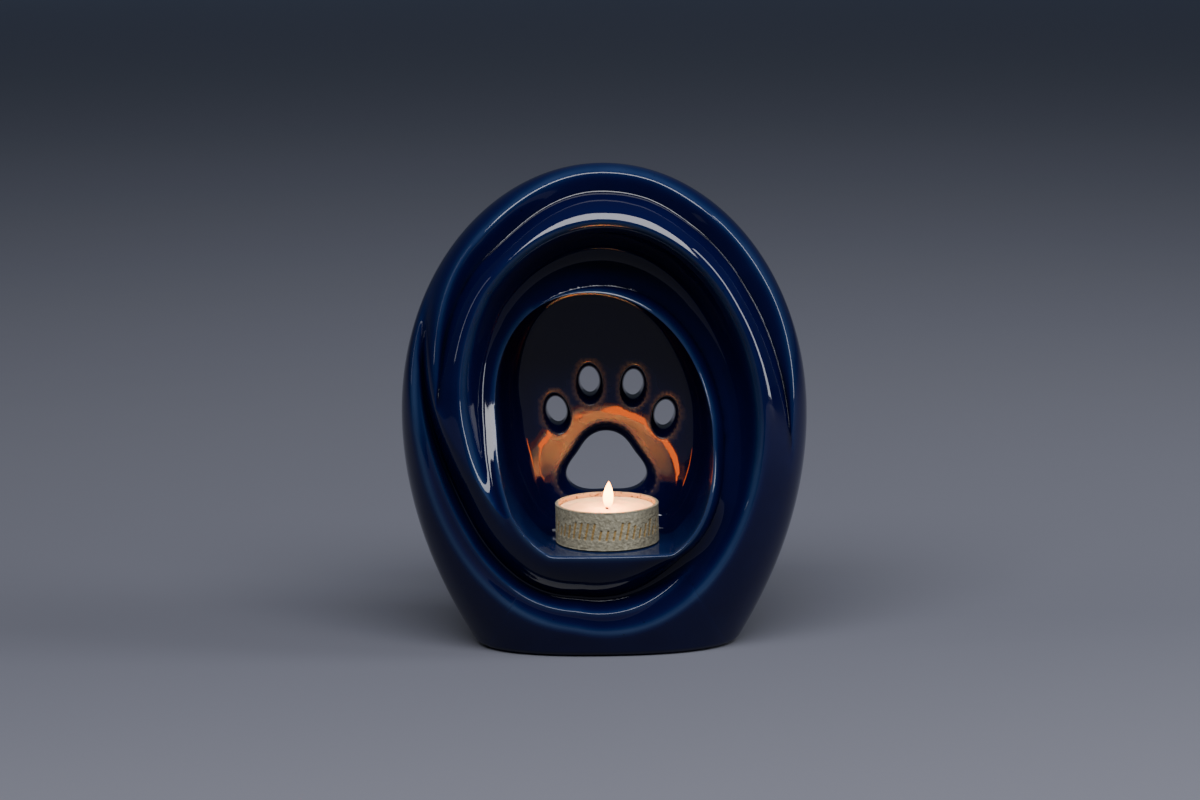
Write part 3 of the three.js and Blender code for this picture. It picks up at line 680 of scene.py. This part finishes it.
def value_group(name, sockets, build):
    """A shader group with number inputs; build(group, inputs) gives the socket of its one output."""
    group = bpy.data.node_groups.new(name, "ShaderNodeTree")
    for label, value in sockets.items():
        entry = group.interface.new_socket(label, in_out="INPUT", socket_type="NodeSocketFloat")
        entry.default_value = value
    group.interface.new_socket("Value", in_out="OUTPUT", socket_type="NodeSocketFloat")
    result = build(group, group.nodes.new("NodeGroupInput").outputs)
    group.links.new(result, group.nodes.new("NodeGroupOutput").inputs["Value"])
    return group


def mottle(group, inputs):
    """Noise over Object coordinates, stretched from 0 to 1 round its mean."""
    place = add_node(group, "TexCoord", {}).outputs["Object"]
    fed = {"Vector": place, "Scale": inputs["Scale"], "Detail": inputs["Detail"]}
    return spread(group, add_node(group, "TexNoise", fed).outputs["Fac"], NOISE_SPREAD)


def speckle(group, inputs):
    """Round dots: 1 inside a share of each Voronoi cell that a second, coarser noise lets through."""
    place = add_node(group, "TexCoord", {}).outputs["Object"]
    cells = add_node(group, "TexVoronoi", {"Vector": place, "Scale": inputs["Scale"]}).outputs["Distance"]
    noise = add_node(group, "TexNoise", {"Vector": place, "Scale": FIBRE_SCALE}).outputs["Fac"]
    near = add_node(group, "Math", {0: cells, 1: inputs["Size"]}, operation="LESS_THAN").outputs[0]
    chosen = add_node(group, "Math", {0: noise, 1: inputs["Amount"]}, operation="LESS_THAN").outputs[0]
    return add_node(group, "Math", {0: near, 1: chosen}, operation="MULTIPLY").outputs[0]


MOTTLE = value_group("mottle", {"Scale": 40, "Detail": 3}, mottle)
SPECKLE = value_group("speckle", {"Scale": 900, "Size": 0.25, "Amount": 0.5}, speckle)


class Finish:
    """A material with one Principled shader and short ways to add nodes to it."""

    def __init__(self, name, colour, roughness, **sockets):
        self.material = bpy.data.materials.new(name)
        self.material.use_nodes = True
        self.tree = self.material.node_tree
        self.shader = self.tree.nodes["Principled BSDF"]
        self.shader.inputs["Base Color"].default_value = (*colour, 1)
        self.shader.inputs["Roughness"].default_value = roughness
        for label, value in sockets.items():
            self.shader.inputs[label.replace("_", " ")].default_value = value
        self.material.diffuse_color = (*colour, 1)

    def effect(self, group, **inputs):
        """The output of a shared effect with this finish's own values."""
        return add_node(self.tree, "Group", inputs, node_tree=group).outputs[0]

    def attribute(self, name):
        """A number kept on the piece's points."""
        return add_node(self.tree, "Attribute", {}, attribute_name=name).outputs["Fac"]

    def ramp(self, factor, *stops):
        """A colour ramp through (place, colour) stops."""
        node = add_node(self.tree, "ValToRGB", {"Fac": factor})
        for i, (place, colour) in enumerate(stops):
            stop = node.color_ramp.elements[i] if i < 2 else node.color_ramp.elements.new(place)
            stop.position, stop.color = place, (*colour, 1)
        return node.outputs["Color"]

    def blend(self, factor, first, second):
        """Two colours mixed by a factor; either may be a socket or a plain colour."""
        colours = {"Factor": factor, 6: first, 7: second}
        return add_node(self.tree, "Mix", colours, data_type="RGBA").outputs[2]

    def total(self, first, second):
        """The sum of two sockets, kept from 0 to 1."""
        return add_node(self.tree, "Math", {0: first, 1: second}, operation="ADD", use_clamp=True).outputs[0]

    def between(self, factor, low, high):
        """A factor from 0 to 1 made a value from low to high."""
        return spread(self.tree, factor, target=(low, high))

    def along(self, axis, low, high):
        """How far a point is along an axis of the frame, from 0 at low to 1 at high, in metres."""
        place = add_node(self.tree, "TexCoord", {}).outputs["Object"]
        return spread(self.tree, add_node(self.tree, "SeparateXYZ", {0: place}).outputs[axis], (low, high))

    def relief(self, height, distance, strength=1.0):
        """Bump of a height in metres on the shader's normal."""
        bump = add_node(self.tree, "Bump", {"Distance": distance, "Strength": strength, "Height": height})
        self.set("Normal", bump.outputs["Normal"])

    def set(self, label, socket):
        """Feeds one of the shader's inputs."""
        self.tree.links.new(socket, self.shader.inputs[label])


print("node groups:", [group.name for group in (MOTTLE, SPECKLE)])

# %% [markdown]
# ## Cobalt glaze
# A gloss glaze runs off sharp edges while it melts and pools in hollows. The thin glaze on a crest
# shows lighter and greener, and the thick glaze in a groove is almost black. The bend of the
# surface and the distance from a carved line say where that happens, so both are measured on the
# finished mesh and kept on its points as one number. The same number paints a highlight on the
# crests and shade in the grooves.

# %% Glaze
FLAT_TONE, CREST_HIGHLIGHT_TONE = 0.42, 0.46


def deep_cobalt():
    """The glaze's colour from how far the surface is raised, with a slow mottle; it paints a highlight on
    crests and shade in hollows.
    """
    glaze = Finish("deep_cobalt_glaze", (0.006, 0.012, 0.06), 0.06, IOR=1.4)
    uneven = glaze.between(glaze.effect(MOTTLE, Scale=45, Detail=4), -0.06, 0.06)
    raised = glaze.total(glaze.attribute("raised"), uneven)
    body_colour = glaze.ramp(raised, (0.0, (0.0005, 0.0007, 0.004)), (FLAT_TONE, (0.0009, 0.0014, 0.019)),
                             (0.56, (0.0012, 0.0026, 0.026)), (0.75, (0.003, 0.008, 0.036)),
                             (1.0, (0.011, 0.023, 0.06)))
    spots = glaze.effect(SPECKLE, Scale=420, Size=0.1, Amount=0.42)
    spotted = glaze.blend(spots, body_colour, (0.001, 0.0015, 0.006))
    glaze.set("Base Color", glaze.blend(glaze.attribute("worn"), spotted, (0.11, 0.085, 0.06)))
    glaze.set("Roughness", glaze.between(glaze.effect(MOTTLE, Scale=120, Detail=5), 0.035, 0.075))
    glaze.relief(glaze.effect(MOTTLE, Scale=70, Detail=2), 0.00012, 0.35)
    return glaze.material


def bare_clay():
    """The unglazed clay of the foot ring and the inside."""
    clay = Finish("bare_clay", (0.5, 0.4, 0.3), 0.85)
    clay.set("Base Color", clay.blend(clay.effect(SPECKLE, Scale=700, Size=0.22, Amount=0.5),
                                      (0.52, 0.42, 0.32), (0.3, 0.2, 0.13)))
    clay.relief(clay.effect(MOTTLE, Scale=1500, Detail=4), 0.0001, 0.6)
    return clay.material


COBALT, CLAY = deep_cobalt(), bare_clay()
print("glaze and clay are ready")

# %% [markdown]
# ## The shell
# All the skins are welded into one closed piece that stands for the imported body. The bend at a
# point is the mean of how far its neighbours fall below its tangent plane, over their distance
# squared. A few rounds of averaging spread it as far as molten glaze creeps. The bend darkens the
# glaze in hollows as painted shade and lightens it on crests as a painted highlight, on top of the
# glaze's own thin and thick colour.

# %% Shell
SHARPEST, FULL_BEND, BEND_ROUNDS, HOLLOW_SHADE_TONE, RAISED_HIGHLIGHT_TONE = 1500, 900, 10, -0.4, 0.12
WORN_SHARE, WORN_AWAY, WORN_SPREAD = 0.5, 0.5, 0.4

# For each carved line: how strongly its painted highlight shows in the glaze, how far outside itself, and how
# wide in mm.
RIM_LINE, CREST_LINE, RIDGE_LINE, STEP_LINE = (0.8, 0.3, 1.4), (1, 0.3, 1.8), (0.8, 0.5, 1.8), (0.6, 0.3, 1.2)
CREST_COMES, CREST_GOES = (SPIRAL_START, 75), (SPIRAL_END, 470)


def point_bend(mesh, rounds):
    """Mean bend at each point in 1/m, positive on crests, averaged over neighbours a few times."""
    count = len(mesh.vertices)
    place, normal = (read_numbers(mesh.vertices, name, 3).astype(float) for name in ("co", "normal"))
    start, end = read_numbers(mesh.edges, "vertices", 2, np.int32).T
    one, other = np.concatenate([start, end]), np.concatenate([end, start])
    step = place[other] - place[one]
    length = np.maximum(np.linalg.norm(step, axis=1), 1e-6)
    fall = -2 * (step * normal[one]).sum(1) / length ** 2
    total = np.maximum(np.bincount(one, minlength=count), 1)
    bend = np.bincount(one, weights=np.clip(fall, -SHARPEST, SHARPEST), minlength=count) / total
    near = 1 / length
    for _ in range(rounds):
        bend = (bend + np.bincount(one, weights=bend[other] * near, minlength=count)
                / np.maximum(np.bincount(one, weights=near, minlength=count), 1e-9)) / 2
    return place, bend


def keep_numbers(piece, name, values):
    """Keeps one number for each point, for the materials to read."""
    piece.data.attributes.new(name, "FLOAT", "POINT").data.foreach_set("value", values.astype(np.float32))


def painted_crest_highlight(place):
    """1 on the crests, falling off over some 2 mm: a painted highlight, where the glaze is also thin."""
    x, depth, z = place[:, 0] / MM, (middle_y - place[:, 1]) / MM, place[:, 2] / MM
    angle, radius = np.degrees(np.arctan2(-x, z - HUB)) % 360, np.hypot(x, z - HUB)
    lines = [(RIM_LINE, rim_radius(angle), 1)]
    for turn_angle in (angle, angle + 360):
        crest, on = crest_radius(turn_angle), ease(*CREST_COMES, turn_angle) * ease(*CREST_GOES, turn_angle)
        step = crest - STEP_PLACE * closed_width(turn_angle)
        lines += [(CREST_LINE, crest, on), (STEP_LINE, step, step_strength(turn_angle)),
                  (RIDGE_LINE, ridge_radius(turn_angle), ridge_strength(turn_angle) ** 0.5)]
    glow = [share * on * np.exp(-((radius - line - outside) / reach) ** 2)
            for (share, outside, reach), line, on in lines]
    return np.max(glow, axis=0) * (depth > 0)


def make_shell():
    """The urn's body: skins, niche, holes, back, foot and hollow in one closed piece."""
    parts = [grid_part(skin) for skin in (front_skin, niche_skin, back_skin, *tubes)]
    parts += [(*panel_patch, 0), (*back_patch, 0), (*foot_patch, 1), (*hollow, 1), grid_part(lip, 1)]
    shell = new_piece("urn_shell", parts, [COBALT, CLAY])
    place, bend = point_bend(shell.data, BEND_ROUNDS)
    # The tone paints a highlight on crests and along the carved lines and shade in the hollows, together with
    # the glaze's own colour where it runs thin or pools.
    tone = FLAT_TONE + np.clip(bend / FULL_BEND, HOLLOW_SHADE_TONE, RAISED_HIGHLIGHT_TONE) + CREST_HIGHLIGHT_TONE * painted_crest_highlight(place)
    keep_numbers(shell, "raised", np.clip(tone, 0, 1))
    flat = place[:, [0, 2]] / MM
    away = np.min([np.linalg.norm(flat[:, None] - loop[None, ::3], axis=-1).min(1) for loop in mouths], 0)
    keep_numbers(shell, "worn", WORN_SHARE * np.exp(-((away - WORN_AWAY) / WORN_SPREAD) ** 2))
    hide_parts("urn_body")
    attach(shell, "root")
    return shell


shell = make_shell()

# %% [markdown]
# ## Candle
# The candle stands in a band of pressed board with a pebbled face and a row of pressed marks.
# Its parts are turned about one axis, so each is a profile swept round, and the pebbles and marks
# push the surface in or out by a fraction of a millimetre.

# %% Turned pieces
SEAT = np.array([0.5, middle_y / MM - 9.5, SHELF + 0.3])
BAND_RADIUS, BAND_HEIGHT, BAND_INSIDE, BAND_FLOOR, BAND_EDGE, BAND_LIP = 20.5, 15.3, 18.9, 1.2, 0.5, 0.4
BAND_COLUMNS, WALL_ROWS, INSIDE_ROWS = 400, 62, 20
STROKES, STROKE_HALVES, STROKE_LEAN, STROKE_FOOT = 46, (3.1, 2.4, 3.1, 1.7), np.radians(12), 4.5
PEBBLES, PEBBLE_ROWS, PEBBLE_PUSH, STROKE_PUSH, WALL_PUSH = 184, 1.45, 0.1, 0.3, 0.16


def lattice_noise(u, v, seed, wrap):
    """Smooth noise from -1 to 1 on (u, v): random values on whole numbers, eased between; u repeats."""
    table = np.random.default_rng(seed).uniform(-1, 1, (wrap, 256))
    low_u, low_v = np.floor(u).astype(int), np.floor(v).astype(int)
    part_u, part_v = u - low_u, v - low_v
    part_u, part_v = part_u ** 2 * (3 - 2 * part_u), part_v ** 2 * (3 - 2 * part_v)
    corner = [table[(low_u + i) % wrap, (low_v + j) % 256] for i in (0, 1) for j in (0, 1)]
    return mix(mix(corner[0], corner[1], part_v), mix(corner[2], corner[3], part_v), part_u)


def stroke_mask(along, height):
    """1 on a row of short pressed strokes: distance to leaning segments of several lengths."""
    centres = (np.arange(STROKES) + 0.5) * 2 * np.pi * BAND_RADIUS / STROKES
    halves = np.random.default_rng(7).choice(STROKE_HALVES, STROKES)
    lean_x, lean_z = np.sin(STROKE_LEAN), np.cos(STROKE_LEAN)
    best = np.full(along.shape, 9.0)
    for centre, half in zip(centres, halves):
        dx, dz = along - centre, height - (STROKE_FOOT + half)
        t = np.clip(dx * lean_x + dz * lean_z, -half, half)
        best = np.minimum(best, np.hypot(dx - t * lean_x, dz - t * lean_z))
    return ease(0.55, 0.3, best)


def make_band():
    """The pebbled band with its floor: the outer wall carries the pebbles and the strokes."""
    turn_in = np.linspace(0, np.pi / 2, 5)
    corner, shoulder = BAND_RADIUS - BAND_EDGE, BAND_HEIGHT - BAND_LIP
    profile = np.concatenate([
        [[0, 0], [12, 0]],
        np.column_stack([corner + BAND_EDGE * np.sin(turn_in), BAND_EDGE - BAND_EDGE * np.cos(turn_in)])[:-1],
        [[BAND_RADIUS, z] for z in np.linspace(BAND_EDGE, shoulder, WALL_ROWS)],
        np.column_stack([corner + BAND_EDGE * np.cos(turn_in), shoulder + BAND_LIP * np.sin(turn_in)])[1:],
        [[19.4, BAND_HEIGHT], [18.95, BAND_HEIGHT - 0.1], [BAND_INSIDE, BAND_HEIGHT - 0.5]],
        [[BAND_INSIDE, z] for z in np.linspace(BAND_HEIGHT - 1, BAND_FLOOR, INSIDE_ROWS)],
        [[0, BAND_FLOOR]]])
    points = turned(SEAT, profile, BAND_COLUMNS)
    swing = np.linspace(0, 2 * np.pi, BAND_COLUMNS, endpoint=False)[:, None]
    on_wall = ((profile[:, 0] > BAND_RADIUS - 0.01) & (profile[:, 1] > 0.4))[None] * 1.0
    around, height = np.broadcast_arrays(swing * BAND_RADIUS, profile[:, 1][None])
    turns = swing / (2 * np.pi) * PEBBLES
    pebbles = (lattice_noise(turns, height * PEBBLE_ROWS, 3, PEBBLES)
               + 0.6 * lattice_noise(turns * 2, height * PEBBLE_ROWS * 2, 4, PEBBLES * 2))
    push = (PEBBLE_PUSH * pebbles - STROKE_PUSH * stroke_mask(around, height) * on_wall - WALL_PUSH) * on_wall
    points += push[..., None] * np.stack([np.cos(swing), np.sin(swing), 0 * swing], -1)
    band = new_piece("candle_band", [grid_part(points)], [BOARD])
    place = read_numbers(band.data.vertices, "co", 3) / MM - SEAT
    angle = np.mod(np.arctan2(place[:, 1], place[:, 0]), 2 * np.pi)
    away = np.hypot(place[:, 0], place[:, 1])
    keep_numbers(band, "marks", stroke_mask(angle * BAND_RADIUS, place[:, 2]) * (away > 19.6))
    keep_numbers(band, "inside", 1.0 * (away < 19.2))
    return band


def pressed_board():
    """Grey-cream board: paler pebbles, ochre in the pressed strokes, brown speckle inside."""
    board = Finish("pressed_board", (0.42, 0.4, 0.3), 0.8)
    face = board.blend(board.effect(MOTTLE, Scale=650, Detail=3), (0.13, 0.115, 0.075), (0.24, 0.22, 0.155))
    marked = board.blend(board.attribute("marks"), face, (0.2, 0.12, 0.03))
    lining = board.blend(board.effect(SPECKLE, Scale=900, Size=0.34, Amount=0.56),
                         (0.3, 0.17, 0.08), (0.05, 0.02, 0.01))
    board.set("Base Color", board.blend(board.attribute("inside"), marked, lining))
    board.relief(board.effect(MOTTLE, Scale=1900, Detail=3), 0.00012, 0.5)
    return board.material


BOARD = pressed_board()
band = make_band()
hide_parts("candle_cup")
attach(band, "root")

# %% [markdown]
# ## Wax, wick and flame
# Wax is lit from inside by the flame, so light scattered under its skin matters more than its
# colour. An emission paints orange light round the wick. The flame has no surface of its own: a small glowing
# drop and a small lamp stand for it.

# %% Wax and wick
WAX_RADIUS, WAX_TOP, WAX_FLOOR, POOL_DEPTH, MENISCUS, GLOW_REACH = 18.6, 13, 1.5, 0.55, 0.5, 6.0
WICK_HALF_WIDTH, WICK_FOOT = 0.62, 12.2


def wax_finish():
    """Cream wax that lets light in, with orange light painted round the wick by emission."""
    wax = Finish("cream_wax", (0.9, 0.72, 0.55), 0.3, Subsurface_Weight=0.6, IOR=1.44)
    wax.shader.inputs["Subsurface Radius"].default_value = (1.0, 0.6, 0.35)
    wax.shader.inputs["Subsurface Scale"].default_value = 0.006
    cooling = wax.effect(MOTTLE, Scale=160, Detail=3)
    wax.set("Base Color", wax.blend(cooling, (0.88, 0.62, 0.38), (0.8, 0.5, 0.29)))
    # Emission paints the flame's light glowing in the wax round the wick.
    wax.shader.inputs["Emission Strength"].default_value = 0.4
    wax.set("Emission Color", wax.ramp(wax.attribute("glow"), (0, (0.0, 0.0, 0.0)), (1, (1.0, 0.45, 0.16))))
    wax.relief(wax.effect(MOTTLE, Scale=300, Detail=2), 0.0002, 0.3)
    return wax.material


def make_wax():
    """A disc with a meniscus against the band and a shallow melted pool round the wick."""
    at = np.linspace(0, WAX_RADIUS, 60)
    top = WAX_TOP - POOL_DEPTH * ease(15.5, 12.5, at) + MENISCUS * ease(17.2, WAX_RADIUS, at) ** 2
    profile = np.concatenate([np.column_stack([at, top]), [[WAX_RADIUS, z] for z in (12.6, 8, 2)],
                              [[x, WAX_FLOOR] for x in (18.2, 9, 0)]])
    points = turned(SEAT, profile, 160)
    drift = lattice_noise(points[..., 0] * 0.25 + 40, points[..., 1] * 0.25 + 40, 11, 97)
    near_top = (profile[:, 1] > 12)[None] * ease(18.4, 14, profile[:, 0])[None]
    points[..., 2] += 0.12 * drift * near_top
    wax = new_piece("candle_wax_pool", [grid_part(points)], [wax_finish()])
    place = read_numbers(wax.data.vertices, "co", 3) / MM - SEAT
    keep_numbers(wax, "glow", np.exp(-np.hypot(place[:, 0], place[:, 1]) / GLOW_REACH) * (place[:, 2] > 8))
    return wax


def make_wick():
    """A charred cotton wick: three strands twisted, bent over at the tip."""
    climb = np.linspace(0, 1, 40)
    height = WICK_FOOT + 3.6 * climb - 0.3 * climb ** 3
    path = SEAT + np.column_stack([0.9 * climb ** 2, -0.2 * climb ** 2, height])
    swing = np.linspace(0, 2 * np.pi, 24, endpoint=False)[:, None]
    strands = 1 + 0.2 * np.cos(3 * swing + 14 * climb[None])
    rounded_ends = np.sqrt(np.clip(1 - (climb[None] * 2 - 1) ** 14, 0, 1))
    points = swept(path, strands * WICK_HALF_WIDTH * rounded_ends * (1 - 0.25 * climb[None]), 24)
    char = Finish("charred_wick", (0.012, 0.01, 0.008), 0.9)
    ash = char.effect(MOTTLE, Scale=1500, Detail=3)
    char.set("Base Color", char.blend(ash, (0.006, 0.005, 0.004), (0.05, 0.03, 0.02)))
    return new_piece("candle_wick_twist", [grid_part(points)], [char.material])


wax_pool = make_wax()
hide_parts("candle_wax")
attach(wax_pool, "root")
wick = make_wick()
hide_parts("candle_wick")
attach(wick, "root")


# %% Flame
FLAME_FOOT, FLAME_HEIGHT, FLAME_HALF_WIDTH, FLAME_STRENGTH = 13.2, 10.4, 4.9, 32


def make_flame():
    """A drop, half as wide as sqrt(t) (1 - t)^0.85 along its height, that leans with the draught.

    The camera sees its own ramp of colours; what it lights and what mirrors it gets the deep orange."""
    climb = np.linspace(0, 1, 48)
    width = FLAME_HALF_WIDTH * np.sqrt(climb) * (1 - climb) ** 0.85
    height = FLAME_FOOT + FLAME_HEIGHT * climb
    path = SEAT + np.column_stack([0.5 + 0.4 * climb ** 2, -0.2 + 0 * climb, height])
    points = swept(path, width, 40)
    fire = Finish("candle_flame", (0.0, 0.0, 0.0), 1.0)
    fire.shader.inputs["Emission Strength"].default_value = FLAME_STRENGTH
    foot = SEAT[2] + FLAME_FOOT
    seen = fire.ramp(fire.along("Z", foot * MM, (foot + FLAME_HEIGHT) * MM), (0, (0.5, 0.12, 0.03)),
                     (0.3, (1.0, 0.3, 0.035)), (0.6, (1.0, 0.4, 0.06)), (1.0, (1.0, 0.26, 0.02)))
    ray = add_node(fire.tree, "LightPath", {})
    fire.set("Emission Color", fire.blend(ray.outputs["Is Camera Ray"], (1.0, 0.14, 0.0), seen))
    return new_piece("candle_flame", [grid_part(points)], [fire.material])


flame = make_flame()
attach(flame, "root")

# %% [markdown]
# ## Stopper
# The ashes are kept in by a soft bung pushed into the foot. It is a turned plug with a small
# draft, a rounded lip, and a dimple so that a nail can lift it.

# %% Stopper
CLEARANCE, PLUG_LIP = 0.3, 0.8


def make_stopper():
    """A turned plug a clearance smaller than the hole."""
    out = FILLING - CLEARANCE
    turn_in = np.linspace(0, np.pi / 2, 6)
    profile = np.concatenate([
        [[0, 2.2], [5, 2.2], [6, 1.9], [6.6, 1.2]],
        [[7.4, 1.0], [out - PLUG_LIP, 1.0]],
        np.column_stack([out - PLUG_LIP + PLUG_LIP * np.sin(turn_in), 1.8 - PLUG_LIP * np.cos(turn_in)])[1:],
        [[out - 0.05, 2.6], [out - 0.6, 3.2], [out - 0.65, 4.6], [out - 0.15, 5.2], [out - 0.7, 6]],
        [[out - 1.2, 8.5], [out - 1.7, 9], [0, 9]]])
    points = turned(FOOT_AXIS, profile, 96)
    rubber = Finish("black_rubber", (0.02, 0.02, 0.022), 0.6)
    rubber.set("Roughness", rubber.between(rubber.effect(MOTTLE, Scale=300, Detail=4), 0.5, 0.75))
    rubber.relief(rubber.effect(MOTTLE, Scale=2500, Detail=2), 0.00005, 0.5)
    return new_piece("stopper_plug", [grid_part(points)], [rubber.material])


stopper = make_stopper()
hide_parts("filling_hole_stopper")
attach(stopper, "root")

# %% [markdown]
# ## Floor and light
# A glossy glaze shows its lamps more than its own colour. One wide soft box overhead draws the
# band over the ring, a tall strip on the right draws the long streak, and a weak one on the left
# the thin lines there. The floor runs on past the frame, and its colour is painted light: dark at
# the front, paler with the distance.

# %% Floor and light
# The floor's colour is painted light along Y: dark at the front, palest far behind.
FLOOR_FRONT, FLOOR_REACH, FLOOR_PAINTED_SPAN = -0.42, 12, (-0.4, 8)
FLOOR_PAINTED_LIGHT = ((0, (0.105, 0.106, 0.128)), (0.05, (0.072, 0.074, 0.093)), (0.12, (0.12, 0.123, 0.15)),
                (0.29, (0.24, 0.25, 0.31)), (1, (0.6, 0.64, 0.78)))
AIM = Vector((0, 0, 0.12))

# Name, place and size in metres, power in watts and colour of each soft box.
SOFT_BOXES = (("front_top", (0, -0.75, 1.15), (1.7, 0.5), 42, (0.95, 0.96, 1)),
              ("right_strip", (0.95, -0.2, 0.5), (0.25, 1.0), 9, (0.93, 0.96, 1)),
              ("left_strip", (-0.95, -0.2, 0.5), (0.08, 0.6), 0.6, (0.93, 0.96, 1)))
CANDLE_PLACE, CANDLE_POWER, CANDLE_COLOUR, CANDLE_RADIUS = (0.6, -0.2, 19), 0.12, (1, 0.52, 0.18), 0.004
WORLD_COLOUR, WORLD_STRENGTH = (0.4, 0.48, 0.64), 0.1


def make_floor():
    """A wide table top with a faint mottle; its colour is painted light that pales with the distance behind
    the urn.
    """
    left, right, front, back = -FLOOR_REACH, FLOOR_REACH, FLOOR_FRONT, FLOOR_REACH
    points = np.array([[left, front, 0], [right, front, 0], [right, back, 0], [left, back, 0]]) / MM
    paper = Finish("pale_floor", FLOOR_PAINTED_LIGHT[2][1], 0.9)
    paper.set("Base Color", paper.ramp(paper.along("Y", *FLOOR_PAINTED_SPAN), *FLOOR_PAINTED_LIGHT))
    paper.relief(paper.effect(MOTTLE, Scale=12, Detail=4), 0.0005, 0.3)
    sheet = new_piece("floor", [(points, np.array([[0, 1, 2], [0, 2, 3]]), 0)], [paper.material])
    return sheet


def add_lamp(name, kind, place, power, colour):
    """A lamp of a kind at a place in metres; gives its light and its object."""
    light = bpy.data.lights.new(name, kind)
    light.energy, light.color = power, colour
    lamp = bpy.data.objects.new(name, light)
    lamp.location = place
    bpy.context.scene.collection.objects.link(lamp)
    return light, lamp


make_floor()
for name, place, size, power, colour in SOFT_BOXES:
    light, lamp = add_lamp(name, "AREA", place, power, colour)
    light.shape, light.size, light.size_y = "RECTANGLE", *size
    lamp.rotation_mode = "QUATERNION"
    lamp.rotation_quaternion = (AIM - Vector(place)).to_track_quat("-Z", "Y")
light, lamp = add_lamp("candle_light", "POINT", (SEAT + CANDLE_PLACE) * MM, CANDLE_POWER, CANDLE_COLOUR)
light.shadow_soft_size, lamp.visible_glossy = CANDLE_RADIUS, False
world = bpy.data.worlds.new("studio")
world.use_nodes = True
world.node_tree.nodes["Background"].inputs["Color"].default_value = (*WORLD_COLOUR, 1)
world.node_tree.nodes["Background"].inputs["Strength"].default_value = WORLD_STRENGTH
bpy.context.scene.world = world
